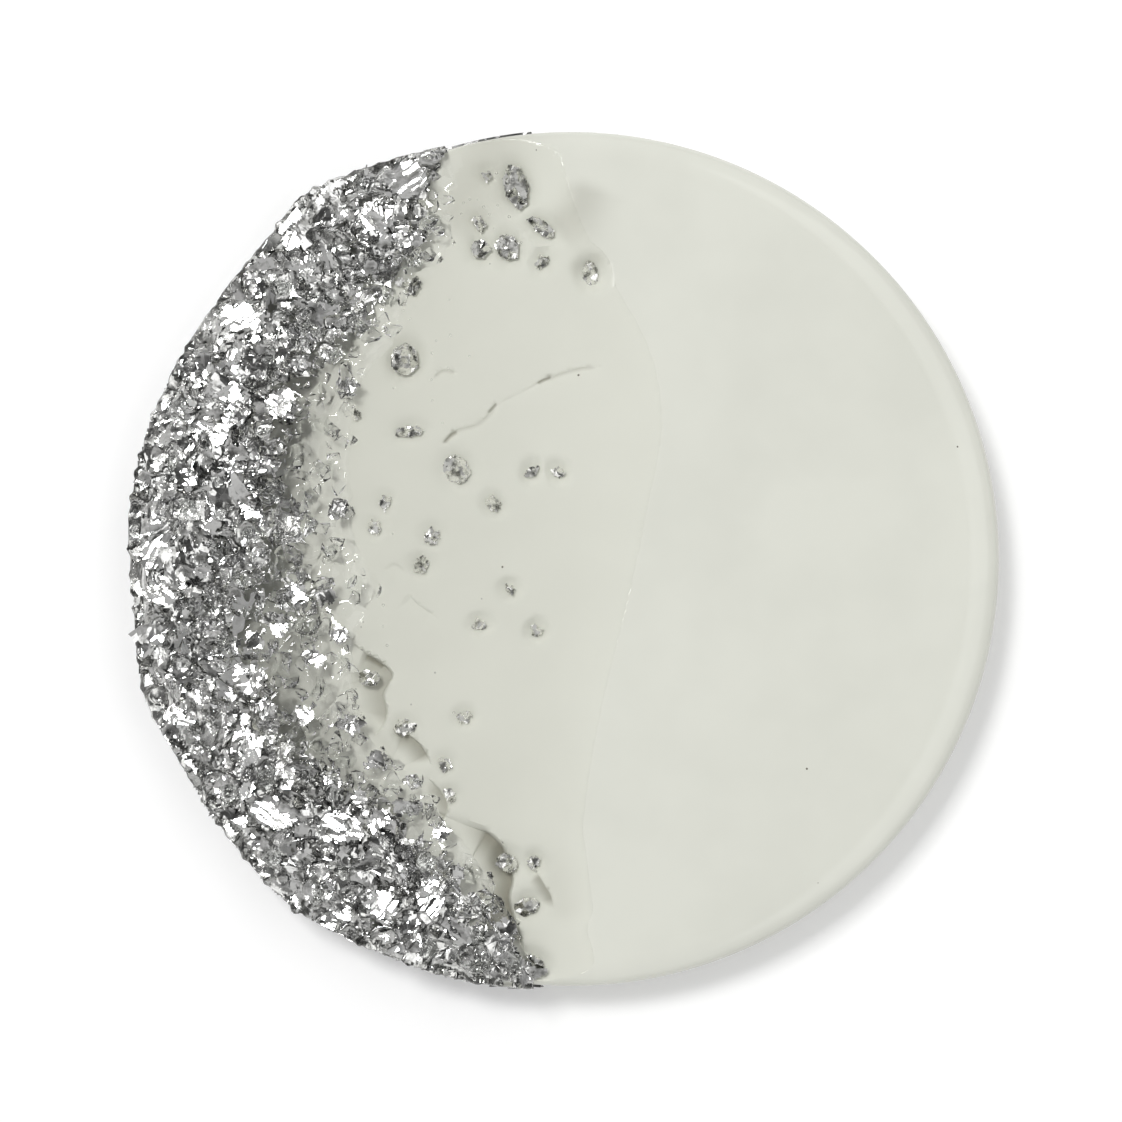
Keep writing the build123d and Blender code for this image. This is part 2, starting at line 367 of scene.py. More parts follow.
def finish_piece(
    bm: bmesh.types.BMesh,
    name: str,
    material: bpy.types.Material,
    replaces: Iterable[str] = (),
    smooth_angle: float | None = None,
) -> bpy.types.Object:
    """Makes a piece of a mesh in millimetres, hangs it on the root and hides the CAD nodes that it stands for.

    Args:
        bm: The finished mesh, in millimetres. It is freed.
        name: The piece's name.
        material: The piece's material.
        replaces: The CAD nodes that it stands for.
        smooth_angle: Faces that meet at less than this are shaded smooth; None leaves every face flat.

    Returns:
        The piece.
    """
    mesh = as_mesh(bm, name)
    mesh.transform(Matrix.Scale(MM, 4))
    if smooth_angle is not None:
        mesh.shade_smooth()
        mesh.set_sharp_from_angle(angle=math.radians(smooth_angle))
    mesh.materials.append(material)
    piece = put_in_scene(name, mesh)
    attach(piece, "root")
    if replaces:
        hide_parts(*replaces)
    log.info("%s: %d faces", name, len(mesh.polygons))
    return piece


def append_mesh(bm: bmesh.types.BMesh, mesh: bpy.types.Mesh, place: Matrix) -> None:
    """Adds a copy of a mesh to a bmesh.

    Args:
        bm: The bmesh that takes the copy.
        mesh: The mesh to copy.
        place: Where the copy goes.
    """
    before = len(bm.verts)
    bm.from_mesh(mesh)
    bm.verts.ensure_lookup_table()
    bmesh.ops.transform(bm, matrix=place, verts=bm.verts[before:])


@dataclass(frozen=True)
class Island:
    """One solid of a CAD node: where it lies, how large it is and which way it faces."""

    centre: Vector
    length: float
    width: float
    turn: float  # the long side's direction in plan
    low: float  # the height of its lowest point

    def along(self) -> Matrix:
        """The turn that lays a piece along its long side."""
        return turned(self.turn, "Z")


def islands(node: str) -> list[Island]:
    """Finds the separate solids of a CAD node.

    Args:
        node: The node's name.

    Returns:
        One entry per solid, in millimetres, in an order that stays the same.
    """
    bm = bmesh.new()
    bm.from_mesh(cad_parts[node].data)
    bmesh.ops.remove_doubles(bm, verts=bm.verts, dist=1e-7)
    found = []
    for group in groups_of(bm.verts, lambda vert: [link.other_vert(vert) for link in vert.link_edges]):
        points = np.array([vert.co[:] for vert in group]) / MM
        low, high = points.min(0), points.max(0)
        plan = points[:, :2] - points[:, :2].mean(0)
        _, axes = np.linalg.eigh(plan.T @ plan)
        length, width = (float(np.ptp(plan @ axes[:, axis])) for axis in (1, 0))
        turn = math.degrees(math.atan2(axes[1, 1], axes[0, 1]))
        found.append(Island(Vector(((low + high) / 2).tolist()), length, width, turn, float(low[2])))
    bm.free()
    return sorted(found, key=lambda island: (round(island.centre.x, 2), round(island.centre.y, 2)))


# --------------------------------------------------------------------------------------------- finishes


@dataclass(frozen=True)
class OpaqueEpoxy:
    """Epoxy resin with white pigment, cast against a polished mould: gloss, off-white, faintly clouded."""

    colour: str = "#E1E2D8"
    cloud_colour: str = "#DCDDD3"
    # painted light: the white under the clear resin has its own copy of the colours, set a little brighter to make up
    # for the light that the resin takes away
    sunk_lifted_colour: str = "#E2E3D9"
    sunk_lifted_cloud_colour: str = "#DDDED4"
    # painted shade: this dark colour paints the shade of creases, of the gap beside the crust and of the deep pool,
    # with a little real stain
    shade_and_stain_colour: str = "#939184"
    speck_colour: str = "#6E6A60"
    cloud_size: float = 14.0
    speck_pitch: float = 4.5
    speck_size: float = 0.028  # as a share of their pitch
    speck_share: float = 0.4  # how many of the places for a speck have one
    gloss: float = 0.5
    roughness: float = 0.1

    def material(self) -> bpy.types.Material:
        """Makes the material: clouded pigment, a brighter copy of it as painted light where clear resin lies on it,
        painted shade and some stain along the tears and where the white lies deep, grey specks of dust, and gloss
        where no clear resin lies on it.
        """
        material, tree, shader = new_material("opaque_white_epoxy", Roughness=self.roughness)
        place = object_place(tree)
        cloud = add_node(
            tree,
            "TexNoise",
            {"Scale": 1 / (self.cloud_size * MM), "Detail": 3.0, "Roughness": 0.55, "Vector": place},
        ).outputs["Fac"]
        bare = ramp(tree, cloud, [(0.35, self.cloud_colour), (0.65, self.colour)])
        # painted light: the sunk white is a brightened copy of the bare white
        sunk = ramp(tree, cloud, [(0.3, self.sunk_lifted_cloud_colour), (0.7, self.sunk_lifted_colour)])
        # the second attribute paints shade along folds, in the gap beside the crust and where the white lies deep,
        # with some stain
        under, shade_and_stain = (
            add_node(tree, "Attribute", attribute_name=name).outputs["Fac"] for name in ("under_clear", "shade_and_stain")
        )
        shaded_and_stained = blend(tree, shade_and_stain, blend(tree, under, bare, sunk), linear(self.shade_and_stain_colour))
        dust = add_node(tree, "TexVoronoi", {"Scale": 1 / (self.speck_pitch * MM), "Vector": place})
        small = reckon(tree, "LESS_THAN", dust.outputs["Distance"], self.speck_size)
        pick = add_node(tree, "SeparateColor", {0: dust.outputs["Color"]}).outputs[0]
        speck = reckon(tree, "MULTIPLY", small, reckon(tree, "LESS_THAN", pick, self.speck_share))
        gloss = reckon(tree, "MULTIPLY", reckon(tree, "SUBTRACT", 1.0, under), self.gloss)
        coloured = blend(tree, speck, shaded_and_stained, linear(self.speck_colour))
        feed(tree, shader, {"Base Color": coloured, "Specular IOR Level": gloss})
        return material


@dataclass(frozen=True)
class ClearEpoxy:
    """Clear casting epoxy, cured glossy, with the faint straw tint of its hardener."""

    name: str
    tint: str = "#FCFCFA"
    roughness: float = 0.02
    ior: float = 1.5
    facet_size: float = 0.0
    facet_lean: float = 0.0

    def material(self) -> bpy.types.Material:
        """Makes the material: refraction and, where it was brushed over glass, the facets that show through."""
        material, tree, shader = new_material(
            self.name, Base_Color=linear(self.tint), Roughness=self.roughness, IOR=self.ior, Transmission_Weight=1.0
        )
        let_lamps_through(tree, shader)
        if self.facet_size:
            facets(tree, shader, self.facet_size, self.facet_lean)
        return material


@dataclass(frozen=True)
class ResinBond:
    """Where two pours of the same epoxy cured onto each other: one body of resin, with nothing to see."""

    tint: str = "#FAFAF3"

    def material(self) -> bpy.types.Material:
        """Makes the material: wholly see-through and without any bending of light."""
        return new_material("cured_resin_bond", Base_Color=linear(self.tint), Alpha=0.0)[0]


@dataclass(frozen=True)
class SilverFoil:
    """Aluminium craft leaf, beaten thin and torn: bright in some patches and dull in others; the dull patches are
    partly scuffs and partly painted shade, the dark reflections of its crinkles.
    """

    name: str
    bright: str = "#E5E5E3"
    # partly painted shade: the dull colour also paints the dark reflections of crinkled foil
    dull_and_shaded: str = "#999996"
    patch_size: float = 1.6
    smooth: float = 0.06
    scuffed: float = 0.17
    facet_size: float = 1.5
    facet_lean: float = 0.07

    def material(self) -> bpy.types.Material:
        """Makes the material: bright patches, dull ones that are partly scuffed and partly painted shade, and the
        facets between its creases.
        """
        material, tree, shader = new_material(self.name, Metallic=1.0)
        patch = add_node(
            tree,
            "TexNoise",
            {
                "Scale": 1 / (self.patch_size * MM),
                "Detail": 3.0,
                "Roughness": 0.5,
                "Vector": object_place(tree),
            },
        ).outputs["Fac"]
        # painted shade in part: the dull patches darken the foil's colour as well as roughening it
        colour = ramp(tree, patch, [(0.34, self.dull_and_shaded), (0.52, self.bright)])
        rough = add_node(tree, "MapRange", {0: patch, 1: 0.3, 2: 0.6, 3: self.scuffed, 4: self.smooth})
        facets(tree, shader, self.facet_size, self.facet_lean)
        feed(tree, shader, {"Base Color": colour, "Roughness": rough.outputs[0]})
        return material


@dataclass(frozen=True)
class StudioPaper:
    """A roll of white background paper, matt and even, that looks a little brighter than it lights."""

    colour: str = "#F4F4F4"
    lift: float = 0.16

    def material(self) -> bpy.types.Material:
        """Makes the material: a plain matt white, lifted where it is seen straight, in gloss or through glass."""
        material, tree, shader = new_material(
            "white_background_paper",
            Base_Color=linear(self.colour),
            Roughness=0.9,
            Specular_IOR_Level=0.0,
            Emission_Color=linear("#FFFFFF"),
        )
        path = add_node(tree, "LightPath").outputs
        seen = path["Is Camera Ray"]
        for name in ("Is Glossy Ray", "Is Transmission Ray"):
            seen = reckon(tree, "MAXIMUM", seen, path[name])
        feed(tree, shader, {"Emission Strength": reckon(tree, "MULTIPLY", seen, self.lift)})
        return material


# --------------------------------------------------------------------------------------------- castings


@dataclass
class Disc:
    """The disc that both pours share: a straight side, a chamfered foot and a rolled rim."""

    rim_width: float = 3.2
    rim_drop: float = 1.6
    base_chamfer: float = 0.4
    rim_steps: int = 12
    rim_powers: Point = (1.15, 0.85)  # how the roll runs inwards and up
    ring_pitch: float = 0.55
    turns: int = 420

    def __post_init__(self) -> None:
        """Takes the radius and the height from the frame."""
        _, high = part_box("white_casting")
        self.radius = high.y / MM
        self.height = high.z / MM

    def rim_profile(self) -> list[Point]:
        """The rolled rim from its foot to its inner edge, as (radius, height)."""
        foot = self.height - self.rim_drop
        return [
            (
                self.radius - self.rim_width * (1 - math.cos(t)) ** self.rim_powers[0],
                foot + self.rim_drop * math.sin(t) ** self.rim_powers[1],
            )
            for t in (0.5 * math.pi * step / self.rim_steps for step in range(self.rim_steps + 1))
        ]

    def top(self, radius: float) -> float:
        """The height of the disc's upper surface at a distance from its axis."""
        if radius <= self.radius - self.rim_width:
            return self.height
        if radius >= self.radius:
            return self.height - self.rim_drop
        radii, heights = zip(*self.rim_profile()[::-1])
        return float(np.interp(radius, radii, heights))

    def skin(self) -> bmesh.types.BMesh:
        """Spins the upper surface, the side and the chamfer, open at the base."""
        inner = self.radius - self.rim_width
        rings = round(inner / self.ring_pitch)
        rise = self.height - self.rim_drop - self.base_chamfer
        profile = [(self.radius - self.base_chamfer, 0.0), (self.radius, self.base_chamfer)]
        profile += [(self.radius, self.base_chamfer + share * rise) for share in np.linspace(0.1, 0.9, 9)]
        profile += self.rim_profile()
        profile += [(inner * (1 - ring / rings), self.height) for ring in range(1, rings + 1)]
        bm = bmesh.new()
        verts = [bm.verts.new((radius, 0, height)) for radius, height in profile]
        edges = [bm.edges.new(pair) for pair in zip(verts, verts[1:])]
        bmesh.ops.spin(
            bm, geom=verts + edges, axis=(0, 0, 1), cent=(0, 0, 0), angle=2 * math.pi, steps=self.turns, use_merge=True
        )
        bmesh.ops.remove_doubles(bm, verts=bm.verts, dist=1e-4)
        bmesh.ops.recalc_face_normals(bm, faces=bm.faces)
        return bm

    def cut_at_base(self, bm: bmesh.types.BMesh) -> None:
        """Cuts off what lies below the base."""
        bmesh.ops.bisect_plane(
            bm, geom=everything(bm), plane_co=(0, 0, 0), plane_no=(0, 0, 1), clear_inner=True, dist=1e-5
        )


@dataclass
class Tear:
    """A place where the skin of the white tore or sank: steep on the left of its line, soft on the right."""

    line: tuple[Point, ...]
    depth: float
    width: float = 1.2
    sharp: float = 0.1  # how far the steep side runs
    # how dark the tear is painted: painted shade of its crease or gap, with some stain
    shade_and_stain: float = 0.0
    steps: int = 4

    def __post_init__(self) -> None:
        """Smooths the line and works out how far from it the tear acts."""
        self.line = tuple(smooth_line(self.line, self.steps))
        margin = 3 * max(self.width, self.sharp)
        self.low = (min(x for x, _ in self.line) - margin, min(y for _, y in self.line) - margin)
        self.high = (max(x for x, _ in self.line) + margin, max(y for _, y in self.line) + margin)

    def reach(self, x: float, y: float) -> float:
        """How strongly the tear acts at a place, from 0 to 1.

        Args:
            x: The place, in millimetres.
            y: The place, in millimetres.

        Returns:
            1 on the line, falling to 0 across it and towards its ends.
        """
        if not (self.low[0] < x < self.high[0] and self.low[1] < y < self.high[1]):
            return 0.0
        best, nearest = 0.0, 1e9
        count = len(self.line) - 1
        for index in range(count):
            (x0, y0), (x1, y1) = self.line[index], self.line[index + 1]
            east, north = x1 - x0, y1 - y0
            length = math.hypot(east, north)
            along = ((x - x0) * east + (y - y0) * north) / length**2
            inside = min(max(along, 0.0), 1.0)
            away = math.hypot(x - x0 - inside * east, y - y0 - inside * north)
            if away >= nearest:
                continue
            nearest = away
            left = east * (y - y0) - north * (x - x0) > 0
            span = self.sharp if left else self.width
            part = (index + inside) / count
            end = min(1.0, 4 * part * (1 - part) * 1.5)
            share = away / (span * (0.35 + 0.65 * end))
            best = end * math.exp(-min(share * share, 30.0))
        return best


@dataclass
class Pool:
    """The bed that the clear pour fills: where the white meets the face, and how it falls away to the left."""

    disc: Disc
    flakes: list[Island]
    depth: float = 2.2
    ripple: float = 0.06
    ripple_size: float = 7.0
    shelf_depth: float = 0.85  # how far the white falls over the first and flattest part of the pool
    shelf_share: float = 0.85  # how much of the way to the floor line that part takes
    hollow_edge: float = 0.8  # how far the hollow round a flake reaches past it
    painted_depth_shade: float = 0.2  # painted shade: how much darker the white is painted under each millimetre of clear resin over it
    # How far up, and how far right the pool reaches at the face, at its floor and at the base, as shares
    # of the radius.
    shores: tuple[tuple[float, float, float, float], ...] = (
        (1.02, -0.11, -0.42, -0.60),
        (0.79, 0.01, -0.50, -0.68),
        (0.61, 0.115, -0.54, -0.72),
        (0.47, 0.185, -0.56, -0.74),
        (0.33, 0.21, -0.58, -0.76),
        (0.08, 0.17, -0.60, -0.78),
        (-0.11, 0.13, -0.60, -0.78),
        (-0.29, 0.085, -0.58, -0.76),
        (-0.55, 0.035, -0.50, -0.68),
        (-0.76, 0.02, -0.38, -0.54),
        (-1.02, 0.07, -0.24, -0.40),
    )
    # fmt: off
    tears: tuple[Tear, ...] = (
        Tear(((-4.0, -33.0), (-1.6, -38.5), (-0.8, -44.0)), 0.2, 3.6, 3.2, 0.13),
        # folds of the skin, with the shade of each crease painted along it
        Tear(((-16.2, 20.3), (-15.4, 21.4), (-14.2, 21.6), (-13.2, 21.0)), 0.14, 0.6, 0.12, 0.4),
        Tear(((-3.6, 20.0), (-1.6, 21.0), (1.2, 21.8), (4.0, 22.0)), 0.14, 0.5, 0.12, 0.32),
        Tear(((-14.9, 13.1), (-13.6, 14.4), (-11.0, 15.2), (-9.4, 16.6), (-8.4, 17.9)), 0.15, 0.6, 0.12, 0.32),
        Tear(((-8.6, 17.5), (-6.8, 18.5), (-4.6, 19.6), (-3.2, 20.5)), 0.08, 0.4, 0.12, 0.16),
        Tear(((-15.2, 12.8), (-14.2, 13.9), (-13.0, 14.7)), 0.12, 0.5, 0.14, 0.9),
        Tear(((-9.9, 16.4), (-9.2, 17.2), (-8.6, 17.9)), 0.12, 0.4, 0.14, 0.8),
        Tear(((-4.2, 19.9), (-3.2, 20.5), (-2.0, 20.9)), 0.12, 0.4, 0.14, 0.9),
        Tear(((-19.0, -4.6), (-17.8, -5.9), (-15.2, -7.6)), 0.2, 1.5, 0.15, 0.1),
        Tear(((-21.6, -1.9), (-20.4, -1.4), (-19.0, -2.6)), 0.2, 1.4, 0.3, 0.1),
        Tear(((-4.2, -36.6), (-3.6, -37.6), (-3.0, -38.6), (-2.4, -39.6), (-1.9, -41.6)), 0.2, 1.4, 0.16, 0.75),
        # the gap between the white and the crust, with the crust's shadow and the shade of the deep gap painted into
        # it
        Tear(
            (
                (-26.6, -9.6), (-24.1, -11.4), (-22.2, -12.6), (-20.9, -13.9), (-21.3, -15.0), (-21.9, -16.3),
                (-21.5, -18.2), (-21.9, -19.8), (-23.0, -21.2),
            ),
            0.7, 3.4, 0.18, 0.62,
        ),
        Tear(((-24.2, -11.5), (-22.8, -12.3), (-21.2, -13.4)), 0.5, 1.1, 0.12, 1.0),
        Tear(((-20.8, -20.4), (-19.2, -21.0), (-18.0, -21.7), (-17.0, -23.0), (-16.2, -24.6)), 0.6, 2.6, 0.16, 0.8),
        Tear(((-23.4, -13.0), (-23.6, -17.0), (-22.4, -21.0), (-19.0, -25.4)), 0.3, 2.4, 2.0, 0.22),
        Tear(((-17.0, -25.6), (-14.9, -28.0), (-14.4, -29.8), (-15.6, -31.6)), 0.4, 2.2, 0.16, 0.6),
        Tear(
            (
                (-16.0, -29.8), (-11.2, -31.8), (-9.6, -32.5), (-8.1, -34.0), (-7.5, -35.8), (-6.9, -37.6),
                (-7.3, -39.9), (-6.6, -42.6), (-5.7, -45.3), (-5.2, -49.0),
            ),
            1.0, 3.8, 0.26, 0.95,
        ),
        # straw-coloured streaks and the deep end, darkened with painted shade where the clear resin lies deep
        Tear(((-3.0, 37.6), (0.6, 40.4), (2.2, 44.6)), 0.0, 4.6, 2.8, 0.3),
        Tear(((-1.2, 33.6), (2.2, 34.2), (3.4, 36.0)), 0.0, 1.9, 1.5, 0.25),
        Tear(((-17.0, 36.0), (-12.5, 41.5), (-9.5, 50.0), (-8.0, 56.0)), 0.4, 7.5, 5.5, 0.31),
    )
    # fmt: on

    def __post_init__(self) -> None:
        """Sorts the shores from bottom to top, as a rising curve needs."""
        up, *reaches = (np.array(sorted(self.shores)) * self.disc.radius).T
        self.seam, self.floor, self.front = (Curve(up, reach) for reach in reaches)
        self.known: dict[Point, tuple[float, float]] = {}

    def bank(self, x: float, y: float) -> float:
        """The height of the white under the clear resin, which passes the face to the right of the seam."""
        seam, floor, front = self.seam(y), self.floor(y), self.front(y)
        share = (seam - x) / (seam - floor)
        if share <= self.shelf_share:
            depth = self.shelf_depth * max(share, 0.0) ** 0.75 / self.shelf_share**0.75
            depth -= self.shelf_depth * max(-share, 0.0)
        elif x >= floor:
            part = (share - self.shelf_share) / (1 - self.shelf_share)
            depth = self.shelf_depth + (self.depth - self.shelf_depth) * part * part
        else:
            depth = self.depth + (self.disc.height - self.depth) * (floor - x) / (floor - front)
        wave = noise.noise(Vector((x, y, 0)) / self.ripple_size)
        return self.disc.height - depth + self.ripple * min(max(share, 0.0), 1.0) * wave

    def hollow(self, x: float, y: float, bank: float) -> float:
        """How far the white gives way under a flake, so that the flake lies clear of it."""
        drop = 0.0
        if bank > self.disc.height + 0.1:
            return drop
        for flake in self.flakes:
            east, north = x - flake.centre.x, y - flake.centre.y
            if abs(east) + abs(north) > 2 * flake.length + 3 or bank < flake.low:
                continue
            turn = math.radians(flake.turn)
            along = (east * math.cos(turn) + north * math.sin(turn)) / (flake.length / 2 + self.hollow_edge)
            across = (north * math.cos(turn) - east * math.sin(turn)) / (flake.width / 2 + self.hollow_edge)
            drop = max(drop, (bank - flake.low + 0.06) * math.exp(-((along**2 + across**2) ** 2)))
        return drop

    def torn(self, x: float, y: float) -> tuple[float, float]:
        """The bank's height with its tears and hollows, and how much shade and stain is painted on it there."""
        key = (round(x, 4), round(y, 4))
        if key not in self.known:
            drop, shade_and_stain = 0.0, 0.0
            for tear in self.tears:
                reach = tear.reach(x, y)
                drop += tear.depth * reach
                shade_and_stain = max(shade_and_stain, tear.shade_and_stain * reach * reach)
            bank = self.bank(x, y)
            # painted shade: the white is painted darker the deeper it lies under the clear resin
            shade_and_stain = max(shade_and_stain, self.painted_depth_shade * min(max(self.disc.height - bank, 0.0), 1.0))
            self.known[key] = (bank - drop - self.hollow(x, y, bank), shade_and_stain)
        return self.known[key]

    def refine(self, bm: bmesh.types.BMesh) -> None:
        """Divides the faces of the upper surface round each tear, so that its line comes out sharp."""
        for sharpest, least in ((1.0, 0.12), (1.0, 0.12), (0.17, 0.45)):
            tears = [tear for tear in self.tears if tear.sharp < sharpest]
            near = []
            for face in bm.faces:
                middle = face.calc_center_median()
                if middle.z < self.disc.height - 0.01:
                    continue
                if any(tear.reach(middle.x, middle.y) > least for tear in tears):
                    near.append(face)
            edges = list(dict.fromkeys(edge for face in near for edge in face.edges))
            bmesh.ops.subdivide_edges(bm, edges=edges, cuts=1, use_grid_fill=True)


@dataclass
class WhiteCasting:
    """The opaque pour: the right side of the face, and the bank that runs down under the clear pool."""

    disc: Disc
    pool: Pool
    finish: OpaqueEpoxy = field(default_factory=OpaqueEpoxy)

    def build(self) -> None:
        """Lowers the disc's skin to the bank, cuts it off at the base and closes it."""
        bm = self.disc.skin()
        self.pool.refine(bm)
        for vert in bm.verts:
            vert.co.z = min(vert.co.z, self.pool.torn(vert.co.x, vert.co.y)[0])
        self.disc.cut_at_base(bm)
        bmesh.ops.remove_doubles(bm, verts=bm.verts, dist=2e-3)
        bmesh.ops.holes_fill(bm, edges=[edge for edge in bm.edges if edge.is_boundary], sides=0)
        bmesh.ops.triangulate(bm, faces=[face for face in bm.faces if len(face.verts) > 4])
        bmesh.ops.recalc_face_normals(bm, faces=bm.faces)
        # the second layer carries the painted shade and stain
        under, shade_and_stain = (bm.verts.layers.float.new(name) for name in ("under_clear", "shade_and_stain"))
        for vert in bm.verts:
            height, vert[shade_and_stain] = self.pool.torn(vert.co.x, vert.co.y)
            top = self.disc.top(math.hypot(vert.co.x, vert.co.y))
            vert[under] = 1.0 if height < top - 0.01 else 0.0
        finish_piece(bm, "opaque_white_pour", self.finish.material(), ["white_casting"], CAST_ANGLE)


@dataclass
class ClearCasting:
    """The clear pour: a pool over the white, as deep as the disc at its left side."""

    disc: Disc
    pool: Pool
    crescent: "Crescent"
    bond: bpy.types.Material
    finish: ClearEpoxy = ClearEpoxy("clear_casting_epoxy")
    wetting: float = 0.04  # how far the clear runs into the white, so that no air shows between them
    wall: float = 0.5  # how near the side it doesn't
    bond_depth: float = 0.3  # how far below the face the bond under the crust may lie
    bond_start: float = 0.02  # how far out it begins, as a share of the crescent's breadth

    def floor(self, x: float, y: float) -> float:
        """The height of the clear pour's underside, never below the base."""
        return max(self.pool.torn(x, y)[0], 0.0)

    def build(self) -> None:
        """Cuts the skin along the seam and closes it below with a copy laid on the bank."""
        bm = self.disc.skin()
        self.pool.refine(bm)
        for vert in bm.verts:
            vert.co.z -= self.floor(vert.co.x, vert.co.y)
        self.disc.cut_at_base(bm)
        delete_loose(bm)
        edge_of_pour = {vert for vert in bm.verts if vert.is_boundary}
        copy = bmesh.ops.duplicate(bm, geom=everything(bm))
        twin = {copy["vert_map"][vert] for vert in edge_of_pour}
        lowered = set(new_verts(copy["geom"]))
        for vert in bm.verts:
            floor = self.floor(vert.co.x, vert.co.y)
            if vert not in lowered:
                vert.co.z += floor
                continue
            reach = self.disc.radius - max(0.0, self.disc.base_chamfer - floor)
            radius = math.hypot(vert.co.x, vert.co.y)
            if radius > reach:
                vert.co.x *= reach / radius
                vert.co.y *= reach / radius
            at_wall = radius > self.disc.radius - self.wall
            vert.co.z = floor if vert in twin or at_wall else max(floor - self.wetting, 0.0)
        bmesh.ops.remove_doubles(bm, verts=bm.verts, dist=4e-3)
        bmesh.ops.dissolve_degenerate(bm, dist=1e-3, edges=bm.edges)
        bmesh.ops.recalc_face_normals(bm, faces=bm.faces)
        for face in bm.faces:
            middle = face.calc_center_median()
            share = self.crescent.depth_share(middle.x, middle.y)
            on_face = face.normal.z > 0.7 and middle.z > self.disc.height - self.bond_depth
            if on_face and self.bond_start < share < 1.0:
                face.material_index = 1
        piece = finish_piece(
            bm, "clear_pool_pour", self.finish.material(), ["clear_casting"], CAST_ANGLE
        )
        piece.data.materials.append(self.bond)


# ------------------------------------------------------------------------------------------------ crust


@dataclass
class Crescent:
    """The plan of the crust: its inner edge on the face and its lip past the side."""

    disc: Disc
    first: float = 107.0
    last: float = 265.0
    ragged_ends: float = 3.5
    loose_end: float = 1.4  # how far pieces stick out past the ends, in degrees
    loose_lip: float = 0.35  # how far they stick out past the lip
    foil_fade: float = 0.2
    top_start: float = 0.08  # how much further out foil lies on the glass than under it
    top_fade: float = 0.35
    broadest: float = 28.0  # about the crescent's greatest breadth
    # fmt: off
    # (share of the radius, angle)
    inner: tuple[Point, ...] = (
        (0.90, 108.5), (0.82, 110.0), (0.76, 114.3), (0.75, 119.5), (0.66, 128.0), (0.63, 142.9),
        (0.59, 150.7), (0.54, 163.0), (0.50, 177.8), (0.46, 190.0), (0.53, 200.0), (0.59, 210.7),
        (0.63, 221.0), (0.64, 236.0), (0.70, 247.1), (0.78, 255.9), (0.86, 260.1), (0.95, 264.5),
    )
    # (angle, length past the side)
    lip: tuple[Point, ...] = (
        (108.0, 0.2), (111.0, 0.5), (119.0, 1.5), (127.0, 2.5), (134.0, 1.3), (142.0, 0.9), (158.0, 1.2),
        (174.0, 1.6), (188.0, 1.2), (199.0, 2.1), (208.0, 1.3), (219.0, 1.4), (231.0, 1.9), (244.0, 1.1),
        (256.0, 0.8), (264.0, 0.5),
    )
    # (angle, share of the way out where foil begins under the glass)
    foil_edge: tuple[Point, ...] = (
        (107.0, 0.75), (110.5, 0.5), (114.0, 0.1), (119.0, 0.04), (130.0, 0.10), (140.0, 0.18),
        (150.0, 0.32), (163.0, 0.28), (178.0, 0.28), (190.0, 0.44), (197.0, 0.54), (204.0, 0.48),
        (212.0, 0.30), (222.0, 0.22), (236.0, 0.12), (250.0, 0.10), (264.0, 0.05),
    )
    # fmt: on

    def __post_init__(self) -> None:
        """Draws both edges and the edge of the foil as curves."""
        shares, angles = zip(*self.inner)
        self.inner_share = Curve(angles, shares)
        self.lip_length = Curve(*zip(*self.lip))
        self.foil_share = Curve(*zip(*self.foil_edge))

    def edges_at(self, angle: float) -> tuple[float, float]:
        """How far from the disc's axis the inner edge and the lip lie at an angle."""
        return self.disc.radius * self.inner_share(angle), self.disc.radius + self.lip_length(angle)

    def between_ends(self, x: float, y: float, side: float = 0.0) -> bool:
        """Whether a place, with so many degrees to either side, lies between the ragged ends."""
        radius, angle = polar(x, y)
        stray = self.ragged_ends * noise.noise(Vector((radius / 2.6, 0, 0)))
        return self.first + stray <= angle - side and angle + side <= self.last - stray

    def depth_share(self, x: float, y: float) -> float:
        """How far out a place lies, from 0 at the inner edge to 1 at the lip; below 0 or above 1 outside."""
        if not self.between_ends(x, y):
            return -1.0
        radius, angle = polar(x, y)
        inner, outer = self.edges_at(angle)
        return (radius - inner) / (outer - inner)

    def fits(self, x: float, y: float, reach: float) -> bool:
        """Whether a piece that reaches so far from its middle stays between the crescent's ends and its lip."""
        radius, angle = polar(x, y)
        side = math.degrees(reach / radius) - self.loose_end
        return self.between_ends(x, y, side) and radius + reach <= self.edges_at(angle)[1] + self.loose_lip

    def density(self, x: float, y: float, start: float, fade: float) -> float:
        """How thick foil lies at a place, from 0 to 1, if it starts and fades in so far past its edge."""
        start += self.foil_share(polar(x, y)[1])
        return min(max((self.depth_share(x, y) - start) / fade, 0.0), 1.0)

    def foil_density(self, x: float, y: float) -> float:
        """How thick the foil lies under the glass at a place."""
        return self.density(x, y, 0.0, self.foil_fade)

    def top_density(self, x: float, y: float) -> float:
        """How thick the foil lies on top of the glass at a place."""
        return self.density(x, y, self.top_start, self.top_fade)

    def place(self, share: float, angle: float) -> tuple[float, float]:
        """The place a share of the way out at an angle."""
        inner, outer = self.edges_at(angle)
        radius = inner + share * (outer - inner)
        return radius * math.cos(math.radians(angle)), radius * math.sin(math.radians(angle))

    def random_place(self, rng: random.Random, low: float = 0.0, high: float = 1.0) -> tuple[float, float, float]:
        """A random place, even over the crescent's area, and its share of the way out."""
        while True:
            angle = rng.uniform(self.first + 1, self.last - 1)
            share = rng.uniform(low, high)
            inner, outer = self.edges_at(angle)
            if rng.random() * self.broadest * self.disc.radius < (outer - inner) * (inner + share * (outer - inner)):
                return *self.place(share, angle), share


